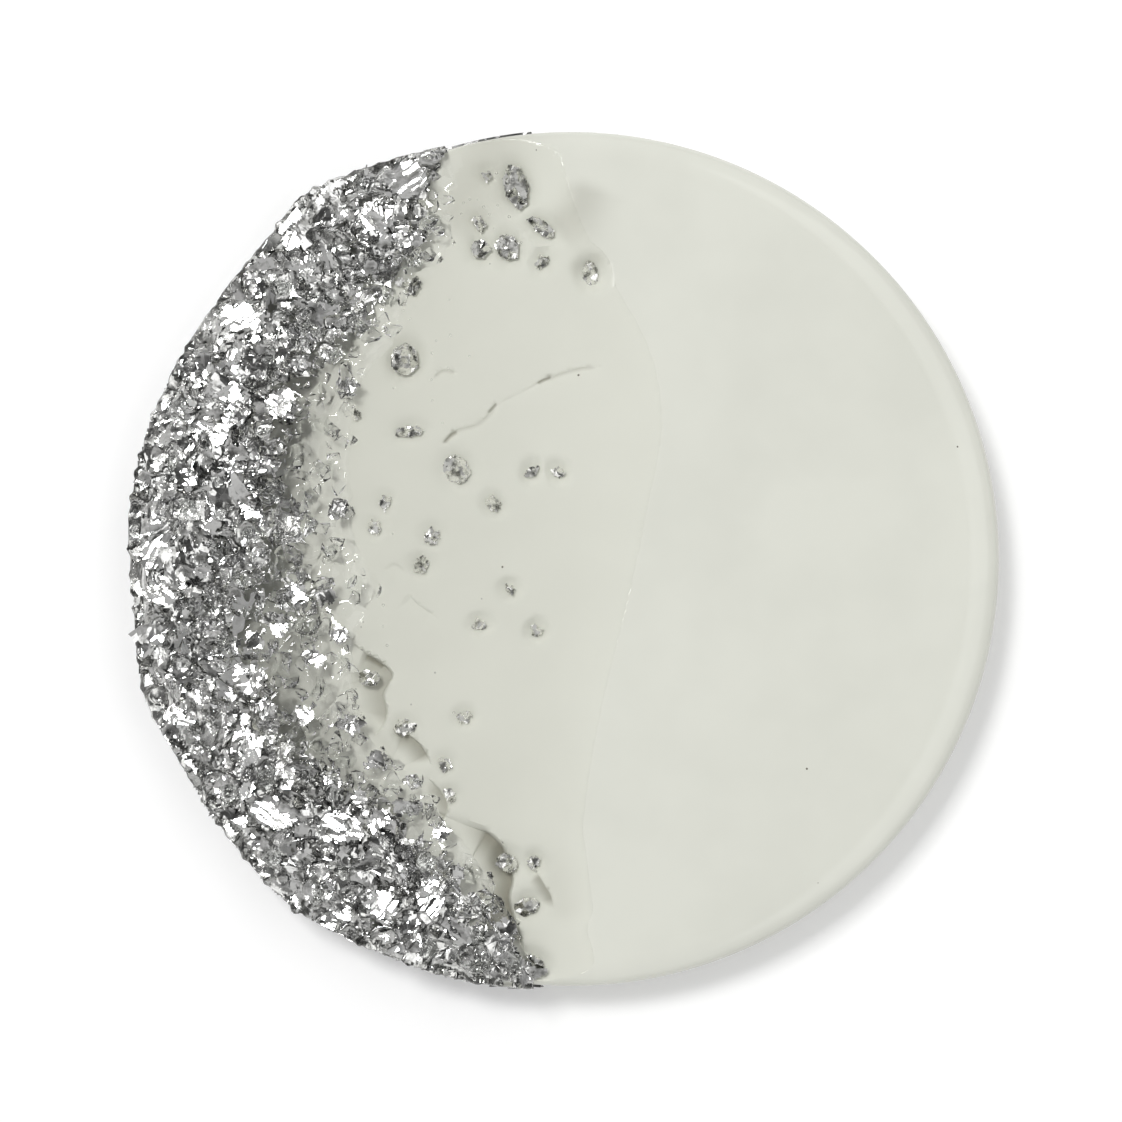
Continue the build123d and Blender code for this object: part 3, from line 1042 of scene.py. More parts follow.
@dataclass
class ShardKit:
    """A few shapes of crushed glass to set down again and again."""

    kinds: int = 24
    corners: int = 9
    half_width: tuple[float, float] = (0.3, 0.48)
    half_height: tuple[float, float] = (0.12, 0.24)
    seed: int = 5

    def __post_init__(self) -> None:
        """Makes the shapes, each about one across."""
        rng = random.Random(self.seed)
        self.meshes = [self.shard(rng) for _ in range(self.kinds)]

    def shard(self, rng: random.Random) -> bpy.types.Mesh:
        """Wraps a hull round a few random points, flatter than it is wide."""
        bm = bmesh.new()
        for _ in range(self.corners):
            direction = Vector((rng.gauss(0, 1), rng.gauss(0, 1), rng.gauss(0, 1))).normalized()
            size = Vector((0.5, rng.uniform(*self.half_width), rng.uniform(*self.half_height)))
            bm.verts.new(direction * size)
        hull = bmesh.ops.convex_hull(bm, input=bm.verts)
        bmesh.ops.delete(bm, geom=new_verts(hull["geom_interior"]), context="VERTS")
        return as_mesh(bm, "shard")

    def set_down(
        self, bm: bmesh.types.BMesh, rng: random.Random, centre: Vector, size: float, lean: float
    ) -> None:
        """Adds one shard to a mesh.

        Args:
            bm: The mesh that takes it.
            rng: Chooses its shape and turn.
            centre: Its middle.
            size: Its length.
            lean: The most that it leans from lying flat.
        """
        turn, tip = any_turn(rng), turned(rng.uniform(-lean, lean))
        append_mesh(bm, rng.choice(self.meshes), Matrix.Translation(centre) @ turn @ tip @ Matrix.Scale(size, 4))


@dataclass
class CrustBinder:
    """The clear resin brushed over the crushed glass: one lumpy body that hangs over the side."""

    disc: Disc
    crescent: Crescent
    shards: ShardKit
    bond: bpy.types.Material
    finish: ClearEpoxy = ClearEpoxy("brushed_binder_epoxy", "#FCFCFB", 0.02, 1.5, 1.5, 0.2)
    lip_drop: float = 2.6
    bed_rise: float = 1.1
    bed_steps: int = 230
    shard_count: int = 480
    shard_lean: float = 17
    edge_count: int = 80
    edge_lean: float = 14
    voxel: float = 0.285
    softness: int = 3
    seat: float = 0.05
    ragged: float = 0.035  # how far the lip strays, as a share of the crescent's breadth
    seed: int = 31

    def bed(self, bm: bmesh.types.BMesh) -> None:
        """Adds the crescent's plain body, from the foot of the lip to the bed under the shards."""
        angles = np.linspace(self.crescent.first, self.crescent.last, self.bed_steps)
        loop = [self.crescent.place(0.0, angle) for angle in angles]
        loop += [
            self.crescent.place(1.0 + self.ragged * noise.noise(Vector((0.9 * angle, 0, 0))), angle)
            for angle in angles[::-1]
        ]
        foot = self.disc.height - self.lip_drop
        face = bm.faces.new([bm.verts.new((x, y, foot)) for x, y in loop])
        raised = new_verts(bmesh.ops.extrude_face_region(bm, geom=[face])["geom"])
        bmesh.ops.translate(bm, vec=(0, 0, self.lip_drop + self.bed_rise), verts=raised)
        bmesh.ops.recalc_face_normals(bm, faces=bm.faces)

    def strew(self, bm: bmesh.types.BMesh) -> None:
        """Adds the shards that raise the resin into lumps: over the whole crescent, then along its inner edge."""
        rng = random.Random(self.seed)
        for _ in range(self.shard_count):
            x, y, share = self.crescent.random_place(rng, 0.02, 0.98)
            size = rng.uniform(2.2, 5.2) * (0.8 + 0.3 * share)
            if not self.crescent.fits(x, y, 0.38 * size):
                continue
            rise = self.bed_rise + rng.uniform(-0.35, 0.45) + 0.45 * math.sin(math.pi * min(share * 1.2, 1.0))
            self.shards.set_down(bm, rng, Vector((x, y, self.disc.height + rise)), size, self.shard_lean)
        for _ in range(self.edge_count):
            x, y = self.crescent.place(rng.uniform(0.0, 0.08), rng.uniform(self.crescent.first + 3, 262))
            centre = Vector((x, y, self.disc.height + rng.uniform(0.4, 0.9)))
            self.shards.set_down(bm, rng, centre, rng.uniform(1.6, 3.6), self.edge_lean)

    def seat_on_disc(self, bm: bmesh.types.BMesh) -> None:
        """Moves whatever dips into the disc onto its surface."""
        for vert in bm.verts:
            radius = math.hypot(vert.co.x, vert.co.y)
            top = self.disc.top(radius) - self.seat
            if radius >= self.disc.radius or vert.co.z >= top:
                continue
            if vert.co.z <= self.disc.height - self.disc.rim_drop and radius > self.disc.radius - 1.0:
                vert.co.x *= self.disc.radius / radius
                vert.co.y *= self.disc.radius / radius
            else:
                vert.co.z = top

    def join(self, bm: bmesh.types.BMesh) -> bmesh.types.BMesh:
        """Joins all that a mesh holds into one skin.

        Args:
            bm: The mesh. It is freed.

        Returns:
            The skin.
        """
        holder = put_in_scene("rough_crust", as_mesh(bm, "rough_crust"))
        remesh = holder.modifiers.new("join", "REMESH")
        remesh.mode = "VOXEL"
        remesh.voxel_size = self.voxel
        joined = bmesh.new()
        joined.from_mesh(
            bpy.data.meshes.new_from_object(holder.evaluated_get(bpy.context.evaluated_depsgraph_get()))
        )
        bpy.data.objects.remove(holder)
        return joined

    def build(self) -> bpy.types.Object:
        """Joins bed and shards into one skin, softens it as brushed resin would, and seats it on the disc."""
        bm = bmesh.new()
        self.bed(bm)
        self.strew(bm)
        bm = self.join(bm)
        for _ in range(self.softness):
            bmesh.ops.smooth_vert(bm, verts=bm.verts, factor=0.5, use_axis_x=True, use_axis_y=True, use_axis_z=True)
        self.seat_on_disc(bm)
        bm.normal_update()
        for face in bm.faces:
            middle = face.calc_center_median()
            radius = math.hypot(middle.x, middle.y)
            if radius < self.disc.radius - 0.2 and middle.z < self.disc.top(radius) + 0.03 and face.normal.z < -0.3:
                face.material_index = 1
        piece = finish_piece(bm, "crust_binder_resin", self.finish.material(), ["crust_binder"], 60)
        piece.data.materials.append(self.bond)
        return piece


class Crumple(Enum):
    """How foil was crushed: slope of its folds, how many, how ragged its edge is, its curl, its streaks."""

    SMOOTH = (0.022, 3, 0.16, 0.03, 0.022)
    CREASED = (0.07, 3, 0.16, 0.14, 0.014)
    CRUSHED = (0.13, 3, 0.18, 0.22, 0.01)
    SUNK = (0.11, 3, 0.14, 0.08, 0.006)


class Skin:
    """The upper surface of a finished piece, to lay foil on."""

    def __init__(self, piece: bpy.types.Object) -> None:
        """Takes the surface of the piece."""
        self.tree = surface_of(piece.data)

    def height(self, x: float, y: float) -> float | None:
        """The height of the surface at a place, or None beside it."""
        hit = self.tree.ray_cast(Vector((x, y, 99.0)), Vector((0, 0, -1)))[0]
        return hit.z if hit else None

    def mean_height(self, x: float, y: float, reach: float) -> float | None:
        """The mean height of the surface round a place."""
        places = [(0, 0), (reach, 0), (-reach, 0), (0, reach), (0, -reach)]
        heights = [self.height(x + east, y + north) for east, north in places]
        found = [height for height in heights if height is not None]
        return sum(found) / len(found) if found else None


@dataclass
class FoilTearer:
    """Tears and crumples pieces of foil."""

    thickness: float = 0.04
    lift: float = 0.05  # how far foil that is laid on a surface stays above it
    wander: float = 0.6
    stiffness: float = 0.3  # how far it evens out what it drapes over

    def folds(self, rng: random.Random, crumple: Crumple, reach: float) -> Callable[[float, float], float]:
        """Draws the creases of one piece.

        Args:
            rng: Chooses the creases.
            crumple: How hard the piece was crushed.
            reach: How far from the middle the creases lie at most.

        Returns:
            A function that gives the height at a place on the piece.
        """
        slope, count, _, _, streaks = crumple.value
        turns = [rng.uniform(0, math.pi) for _ in range(count)]
        ridges = [
            (math.cos(turn), math.sin(turn), rng.uniform(-reach, reach), rng.gauss(0, slope)) for turn in turns
        ]
        grain = rng.uniform(0, math.pi)
        shift = any_shift(rng)
        east, north = math.cos(grain), math.sin(grain)

        def height(x: float, y: float) -> float:
            rise = sum(steep * abs(x * to_x + y * to_y - at) for to_x, to_y, at, steep in ridges)
            along, across = x * east + y * north, y * east - x * north
            streak = noise.noise(Vector((0.4 * along, 1.6 * across, 0)) + shift)
            return rise + streaks * math.tanh(4.5 * streak)

        return height

    def tear(
        self, rng: random.Random, length: float, width: float, cell: float, crumple: Crumple
    ) -> bmesh.types.BMesh:
        """Makes one crumpled piece that lies flat on the origin.

        Args:
            rng: Chooses its outline and its folds.
            length: Its length.
            width: Its width.
            cell: The side of its smallest facets.
            crumple: How hard it was crushed.

        Returns:
            The piece as an open sheet.
        """
        _, _, ragged, curl, _ = crumple.value
        bm = self.grid(length, width, cell)
        height = self.folds(rng, crumple, 0.3 * width)
        sides = []
        count = rng.choice((4, 5, 6, 7))
        for index in range(count):
            turn = 2 * math.pi * (index + rng.uniform(-0.3, 0.3)) / count
            sides.append((math.cos(turn), math.sin(turn), rng.uniform(0.72, 0.94)))
        shift = any_shift(rng)

        def over(x: float, y: float) -> float:
            x, y = 2 * x / length, 2 * y / width
            return max(x * east + y * north - at for east, north, at in sides)

        lost = []
        for face in bm.faces:
            middle = face.calc_center_median()
            bite = noise.noise(middle / 0.45 + shift) + 0.6 * noise.noise(middle / 1.3 + shift)
            if over(middle.x, middle.y) > rng.uniform(-ragged, ragged) + 0.45 * bite:
                lost.append(face)
        if len(lost) < len(bm.faces) - 4:
            bmesh.ops.delete(bm, geom=lost, context="FACES")
        self.keep_largest(bm)
        for vert in bm.verts:
            stray = noise.noise_vector(vert.co / (0.93 * cell) + shift) * self.wander * cell
            x, y = vert.co.x + stray.x, vert.co.y + stray.y
            edge = max(over(x, y) + 0.3, 0.0)
            vert.co = (x, y, height(x, y) + curl * width * edge * edge)
        middle = sum((vert.co.z for vert in bm.verts), 0.0) / len(bm.verts)
        bmesh.ops.translate(bm, vec=(0, 0, -middle), verts=bm.verts)
        return bm

    def cut_like(
        self,
        rng: random.Random,
        node: str,
        cell: float,
        crumple: Crumple,
        relief: float = 1.0,
        warp: float = 0.15,
        grow: float = 1.0,
    ) -> bmesh.types.BMesh:
        """Cuts one piece to the outline of a CAD node, laid over the node's upper surface.

        Args:
            rng: Chooses its folds and the nicks in its edge.
            node: The CAD node.
            cell: The side of its smallest facets.
            crumple: How hard it was crushed.
            relief: How much of the node's own relief it keeps.
            warp: How far its outline strays from the node's.
            grow: How much larger than the node it is.

        Returns:
            The piece as an open sheet, where the node is.
        """
        _, _, ragged, curl, _ = crumple.value
        tree = surface_of(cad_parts[node].data)
        low, high = (Vector(corner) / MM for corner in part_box(node))
        size, middle = high - low, (low + high) / 2
        reach = grow * size.xy + Vector((0.5 * warp, 0.5 * warp))
        bm = self.grid(reach.x, reach.y, cell)
        bmesh.ops.translate(bm, vec=(middle.x, middle.y, high.z + 1), verts=bm.verts)
        down = Vector((0, 0, -1))
        shift = any_shift(rng)
        lost = []
        for face in bm.faces:
            away = face.calc_center_median() - middle
            stray = noise.noise_vector(Vector((away.x, away.y, 0)) / 0.6 + shift) * warp
            x = middle.x + away.x / grow + stray.x + rng.uniform(-ragged, ragged) * warp
            y = middle.y + away.y / grow + stray.y + rng.uniform(-ragged, ragged) * warp
            if tree.ray_cast(Vector((x, y, high.z + 1)), down)[0] is None:
                lost.append(face)
        bmesh.ops.delete(bm, geom=lost, context="FACES")
        self.keep_largest(bm)
        height = self.folds(rng, crumple, 0.3 * min(size.x, size.y))
        for vert in bm.verts:
            hit = tree.ray_cast(vert.co, down)[0]
            level = middle.z + relief * (hit.z - middle.z) if hit else middle.z
            stray = noise.noise_vector(Vector((vert.co.x, vert.co.y, 0)) / (0.93 * cell) + shift)
            x = vert.co.x - middle.x + self.wander * cell * stray.x
            y = vert.co.y - middle.y + self.wander * cell * stray.y
            edge = max(math.hypot(2 * x / size.x, 2 * y / size.y) - 0.7, 0.0)
            rise = height(x, y) + curl * min(size.x, size.y) * edge * edge
            vert.co = (middle.x + x, middle.y + y, level + rise)
        return bm

    def grid(self, length: float, width: float, cell: float) -> bmesh.types.BMesh:
        """Makes a flat sheet on the origin, divided into facets of about one size.

        Args:
            length: Its length.
            width: Its width.
            cell: The side of its facets.

        Returns:
            The sheet.
        """
        bm = bmesh.new()
        columns, rows = max(4, round(length / cell)), max(4, round(width / cell))
        bmesh.ops.create_grid(bm, x_segments=columns, y_segments=rows, size=0.5)
        bmesh.ops.scale(bm, vec=(length, width, 1), verts=bm.verts)
        return bm

    def tear_for(
        self, island: Island, rng: random.Random, grow: float, cell: float, crumple: Crumple
    ) -> bmesh.types.BMesh:
        """Tears one piece for a solid of the frame, so many times as large, as tear() does."""
        return self.tear(rng, island.length * grow, island.width * grow, cell, crumple)

    def keep_largest(self, bm: bmesh.types.BMesh) -> None:
        """Deletes the scraps that tearing left apart from the main piece."""
        groups = groups_of(bm.faces, lambda face: [other for edge in face.edges for other in edge.link_faces])
        groups.sort(key=len, reverse=True)
        bmesh.ops.delete(bm, geom=[face for group in groups[1:] for face in group], context="FACES")
        delete_loose(bm)

    def lay(
        self, bm: bmesh.types.BMesh, sheet: bmesh.types.BMesh, place: Matrix, skin: Skin | None = None
    ) -> None:
        """Sets a torn sheet in its place, gives it its thickness and adds it to a mesh.

        Args:
            bm: The mesh that takes it.
            sheet: The open sheet. It is freed.
            place: Where it goes.
            skin: A surface that it drapes over.
        """
        bmesh.ops.transform(sheet, matrix=place, verts=sheet.verts)
        for vert in sheet.verts if skin else ():
            height = skin.mean_height(vert.co.x, vert.co.y, self.stiffness)
            if height is not None:
                vert.co.z = max(vert.co.z, height + self.lift)
        self.thicken(sheet)
        mesh = as_mesh(sheet, "sheet")
        append_mesh(bm, mesh, Matrix.Identity(4))
        bpy.data.meshes.remove(mesh)

    def thicken(self, sheet: bmesh.types.BMesh) -> None:
        """Gives a sheet its thickness."""
        bmesh.ops.solidify(sheet, geom=sheet.faces[:], thickness=self.thickness)
        bmesh.ops.recalc_face_normals(sheet, faces=sheet.faces)


class Handfuls:
    """A strewn material in three pieces, from the top of the crescent to its bottom."""

    cut: float = 18.0  # how far up and down from the middle it is divided

    def __init__(self) -> None:
        """Starts three empty meshes."""
        self.parts = {part: bmesh.new() for part in ("top", "middle", "bottom")}

    def at(self, y: float) -> bmesh.types.BMesh:
        """The mesh that takes what lies so far up."""
        return self.parts["top" if y > self.cut else "bottom" if y < -self.cut else "middle"]

    def finish(self, name: str, slot: str, material: bpy.types.Material, smooth_angle: float | None = None) -> None:
        """Makes a piece of each mesh.

        Args:
            name: What the names of the pieces start with.
            slot: Not used.
            material: Their material.
            smooth_angle: Faces that meet at less than this are shaded smooth.
        """
        for part, bm in self.parts.items():
            finish_piece(bm, name + part, material, smooth_angle=smooth_angle)


@dataclass(frozen=True)
class Light:
    """Where the main lamp stands, which the brightest foil is turned to."""

    turn: float = 136.0
    from_zenith: float = 24.0
    eye_height: float = 362.0

    def direction(self) -> Vector:
        """The direction from the coaster to the lamp."""
        turn, angle = math.radians(self.turn), math.radians(self.from_zenith)
        return Vector((math.sin(angle) * math.cos(turn), math.sin(angle) * math.sin(turn), math.cos(angle)))

    def mirror_lean(self, place: Vector) -> Matrix:
        """The lean with which a flat sheet at a place throws the lamp's light up over the disc's middle."""
        up = Vector((-place.x, -place.y, self.eye_height)).normalized()
        facing = (up + self.direction()).normalized()
        return Vector((0, 0, 1)).rotation_difference(facing).to_matrix().to_4x4()


@dataclass
class GlassGrit:
    """Loose crushed glass: small shards that stick to the top of the binder, most where no foil lies."""

    crescent: Crescent
    shards: ShardKit
    skin: Skin
    finish: ClearEpoxy = ClearEpoxy("loose_crushed_glass", "#FEFEFE", 0.01, 1.45)
    count: int = 700
    sizes: tuple[float, float] = (1.1, 3.0)
    lean: float = 24
    least: float = 0.2  # the share that still sticks where foil lies thick
    sunk: float = 0.1  # how far a shard's middle lies above the resin, as a share of its length
    seed: int = 63

    def build(self) -> None:
        """Sets the shards down in three handfuls."""
        rng = random.Random(self.seed)
        handfuls = Handfuls()
        for _ in range(self.count):
            x, y, _ = self.crescent.random_place(rng, 0.0, 0.9)
            size = rng.uniform(*self.sizes)
            bare = 1 - self.crescent.top_density(x, y)
            height = self.skin.height(x, y)
            if rng.random() > self.least + bare or height is None or not self.crescent.fits(x, y, 0.4 * size):
                continue
            centre = Vector((x, y, height + self.sunk * size))
            self.shards.set_down(handfuls.at(y), rng, centre, size, self.lean)
        handfuls.finish("glass_grit_", "crushed_glass", self.finish.material(), smooth_angle=12)


@dataclass
class CrustFoil:
    """The foil of the crust: a bed of it under the glass, and torn pieces and crumbs on top."""

    disc: Disc
    crescent: Crescent
    tearer: FoilTearer
    light: Light
    skin: Skin
    finish: SilverFoil = SilverFoil("bright_aluminium_leaf")
    # fmt: off
    sheets: tuple[str, ...] = (
        "foil_long_south", "foil_tall_west", "foil_leaf_west", "foil_wing_northwest", "foil_fold_northwest",
        "foil_star_north", "foil_cup_north", "foil_ridge_south", "foil_spear_south", "foil_crumple_southwest",
        "foil_knot_southwest", "foil_peak_inner", "foil_tongue_southwest",
    )
    flakes: tuple[str, ...] = (
        "foil_flakes_north", "foil_flakes_northwest", "foil_flakes_west", "foil_flakes_southwest",
        "foil_flakes_south",
    )
    under: tuple[str, ...] = ("under_foil_northwest", "under_foil_west", "under_foil_southwest")
    # fmt: on
    cell: float = 0.18
    scrap_count: int = 4  # how many crushed scraps lie round each large piece
    scrap_length: tuple[float, float] = (1.5, 3.0)
    scrap_width: tuple[float, float] = (0.8, 1.8)
    sheet_rise: float = 0.45
    flake_growth: float = 1.15
    crumb_count: int = 350
    crumb_sizes: tuple[float, ...] = (1.2, 2.2, 3.2, 4.4)
    lit_share: float = 0.3
    bed_rise: float = 0.4
    bed_cell: float = 0.27
    bed_margin: float = 3.0
    plate_count: int = 420
    plate_lean: float = 0.16
    plate_step: float = 0.2
    plate_bow: float = 0.045
    lit_plates: float = 0.05
    seed: int = 77

    def build(self) -> None:
        """Tears every piece and sets it down where the frame has it."""
        material = self.finish.material()
        for first, nodes, build in (
            (0, self.sheets, self.build_sheet),
            (20, self.flakes, self.build_flakes),
            (40, self.under, self.build_backing),
        ):
            for number, node in enumerate(nodes, first):
                build(node, random.Random(self.seed + number), material)
        self.build_crumbs(random.Random(self.seed + 60), material)
        self.build_bed(random.Random(self.seed + 80), material)

    def on_top(self, x: float, y: float, beside: float, reach: float, rise: float = 0.0) -> Matrix:
        """The move to a place over the crust's surface.

        Args:
            x: The point of the plan.
            y: The point of the plan.
            beside: The height to use beside the crust.
            reach: How far round the point the surface's height is averaged.
            rise: How far over the surface the place lies.

        Returns:
            The move, as a matrix.
        """
        height = self.skin.mean_height(x, y, reach)
        return Matrix.Translation(Vector((x, y, beside if height is None else height)) + Vector((0, 0, rise)))

    def build_sheet(self, node: str, rng: random.Random, material: bpy.types.Material) -> None:
        """Tears one large piece, turned to the lamp, with crushed scraps round its edge."""
        bm = bmesh.new()
        low, high = (Vector(corner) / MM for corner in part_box(node))
        middle, size = (low + high) / 2, high - low
        for _ in range(self.scrap_count):
            side = rng.uniform(0, 2 * math.pi)
            x, y = middle.x + 0.45 * size.x * math.cos(side), middle.y + 0.45 * size.y * math.sin(side)
            turn, tip = any_turn(rng), turned(rng.gauss(0, 16))
            length, width = rng.uniform(*self.scrap_length), rng.uniform(*self.scrap_width)
            scrap = self.tearer.tear(rng, length, width, self.cell, Crumple.CRUSHED)
            place = self.on_top(x, y, middle.z, 0.7) @ turn @ tip
            self.tearer.lay(bm, scrap, place, self.skin)
        lean = self.light.mirror_lean(middle) @ turned(rng.gauss(0, 2))
        sheet = self.tearer.cut_like(rng, node, 0.17, Crumple.SMOOTH, 0.0, 0.4, 1.2)
        place = self.on_top(*middle, 1.2, self.sheet_rise) @ lean @ Matrix.Translation(-middle)
        self.tearer.lay(bm, sheet, place, self.skin)
        finish_piece(bm, node + "_leaf", material, [node])

    def build_flakes(self, node: str, rng: random.Random, material: bpy.types.Material) -> None:
        """Tears the small pieces of one sector."""
        bm = bmesh.new()
        for island in islands(node):
            lit = rng.random() < self.lit_share
            stray = turned(rng.gauss(0, 3 if lit else 15))
            lean = self.light.mirror_lean(island.centre) if lit else Matrix.Identity(4)
            kind = Crumple.SMOOTH if lit else rng.choice((Crumple.CREASED, Crumple.CRUSHED))
            flake = self.tearer.tear_for(island, rng, self.flake_growth, self.cell, kind)
            place = self.on_top(*island.centre, 0.8, 0.25 if lit else 0.1) @ lean @ stray @ island.along()
            self.tearer.lay(bm, flake, place, self.skin)
        finish_piece(bm, node + "_torn", material, [node])

    def build_backing(self, node: str, rng: random.Random, material: bpy.types.Material) -> None:
        """Tears the sheets that lie under the crust."""
        bm = bmesh.new()
        for island in islands(node):
            sheet = self.tearer.tear_for(island, rng, 1.0, 0.45, Crumple.CREASED)
            self.tearer.lay(bm, sheet, Matrix.Translation(island.centre) @ island.along())
        finish_piece(bm, node + "_sheets", material, [node])

    def plate_heights(self, rng: random.Random, places: np.ndarray) -> np.ndarray:
        """Lays plates of foil edge to edge, each with its own lean, and reads how high they lie.

        Args:
            rng: Chooses the plates.
            places: Places in plan, one row each.

        Returns:
            The height at each place.
        """
        wander = np.array(
            [
                0.16 * noise.noise_vector(Vector((x, y, 0)) / 0.55) + 0.7 * noise.noise_vector(Vector((x, y, 5)) / 2.4)
                for x, y in places
            ]
        )[:, :2]
        nearest = np.full(len(places), 1e9)
        heights = np.zeros(len(places))
        for _ in range(self.plate_count):
            x, y, _ = self.crescent.random_place(rng)
            turn, stretch = rng.uniform(0, math.pi), rng.uniform(1.0, 2.0) ** 0.5
            lean = np.array((rng.gauss(0, self.plate_lean), rng.gauss(0, self.plate_lean)))
            if rng.random() < self.lit_plates:
                facing = self.light.mirror_lean(Vector((x, y, self.disc.height))) @ Vector((0, 0, 1))
                lean = -np.array(facing.xy) / facing.z
            step, bow = rng.gauss(0, self.plate_step), rng.gauss(0, self.plate_bow)
            away = places + wander - (x, y)
            along = away @ (math.cos(turn), math.sin(turn)) / stretch
            across = away @ (-math.sin(turn), math.cos(turn)) * stretch
            far = along**2 + across**2
            nearer = far < nearest
            nearest[nearer] = far[nearer]
            heights[nearer] = ((places - (x, y)) @ lean + bow * far + step)[nearer]
        return heights

    def build_bed(self, rng: random.Random, material: bpy.types.Material) -> None:
        """Makes the bed of foil that lies under the binder: leaning plates, edge to edge, with holes."""
        reach = self.disc.radius + self.bed_margin
        bm = bmesh.new()
        rows = round(2 * reach / self.bed_cell)
        bmesh.ops.create_grid(bm, x_segments=rows // 2, y_segments=rows, size=reach)
        bmesh.ops.scale(bm, vec=(0.5, 1, 1), verts=bm.verts)
        bmesh.ops.translate(bm, vec=(-reach / 2, 0, 0), verts=bm.verts)
        lost = []
        for face in bm.faces:
            middle = face.calc_center_median()
            edge = noise.noise(middle / 2.2) + 0.5 * noise.noise(middle / 0.7)
            hole = noise.noise(Vector((middle.x, middle.y, 9)) / 1.9) > 0.5
            thick = self.crescent.foil_density(middle.x, middle.y)
            if hole or thick < max(0.1, 0.5 + 0.9 * edge) or not self.crescent.fits(middle.x, middle.y, 0.25):
                lost.append(face)
        bmesh.ops.delete(bm, geom=lost, context="FACES")
        heights = self.plate_heights(rng, np.array([vert.co.xy[:] for vert in bm.verts]))
        for vert, height in zip(bm.verts, heights):
            radius = min(math.hypot(vert.co.x, vert.co.y), self.disc.radius)
            vert.co.z = self.disc.top(radius) + self.bed_rise + float(height)
        self.tearer.thicken(bm)
        finish_piece(bm, "binder_foil_bed", material)

    def build_crumbs(self, rng: random.Random, material: bpy.types.Material) -> None:
        """Tears the crumbs that lie on the crust, thick at the side and thin at the inner edge."""
        crumbs = Handfuls()
        for _ in range(self.crumb_count):
            x, y, _ = self.crescent.random_place(rng, 0.02, 0.99)
            if rng.random() > 0.08 + 0.92 * self.crescent.top_density(x, y):
                continue
            turn, lean = any_turn(rng), turned(rng.gauss(0, 14))
            size = rng.choice(self.crumb_sizes) * rng.uniform(0.8, 1.25)
            if not self.crescent.fits(x, y, 0.45 * size):
                continue
            kind = rng.choice((Crumple.CREASED, Crumple.CREASED, Crumple.CRUSHED))
            crumb = self.tearer.tear(rng, size, size * rng.uniform(0.4, 0.9), max(0.15, size / 12), kind)
            place = self.on_top(x, y, self.disc.height, 0.5, rng.uniform(-0.1, 0.3))
            self.tearer.lay(crumbs.at(y), crumb, place @ turn @ lean)
        crumbs.finish("loose_foil_", "silver_foil", material)


@dataclass
class PoolFoil:
    """The flakes that float in the clear pool."""

    tearer: FoilTearer
    # its dull colour is partly painted shade, the dark reflections of crinkled foil
    finish: SilverFoil = SilverFoil("sunk_aluminium_leaf", "#F4F4F2", "#7E7E7B", 0.9, 0.03, 0.1, 0.9, 0.42)
    # fmt: off
    flakes: tuple[str, ...] = (
        "flake_branch_top", "flake_spur_top", "flake_nugget_top", "flake_bead_top", "flake_drop_right",
        "flake_kite", "flake_rose", "flake_sliver", "flake_triangle", "flake_shard_bottom",
        "flake_ring_bottom", "flake_tail_bottom",
    )
    # fmt: on
    groups: tuple[str, ...] = ("crumbs_top", "crumbs_middle", "crumbs_bottom")
    relief: float = 0.3
    growth: float = 1.25
    seed: int = 140

    def build(self) -> None:
        """Tears every flake and sets it down where the frame has it."""
        material = self.finish.material()
        for number, node in [*enumerate(self.flakes), *enumerate(self.groups, 30)]:
            rng = random.Random(self.seed + number)
            bm = bmesh.new()
            if node in self.flakes:
                flake = self.tearer.cut_like(rng, node, 0.13, Crumple.SUNK, self.relief)
                self.tearer.lay(bm, flake, Matrix.Identity(4))
            else:
                for island in islands(node):
                    crumb = self.tearer.tear_for(island, rng, self.growth, 0.12, Crumple.SUNK)
                    self.tearer.lay(bm, crumb, Matrix.Translation(island.centre) @ island.along())
            finish_piece(bm, node + "_torn", material, [node])


# ----------------------------------------------------------------------------------------------- studio


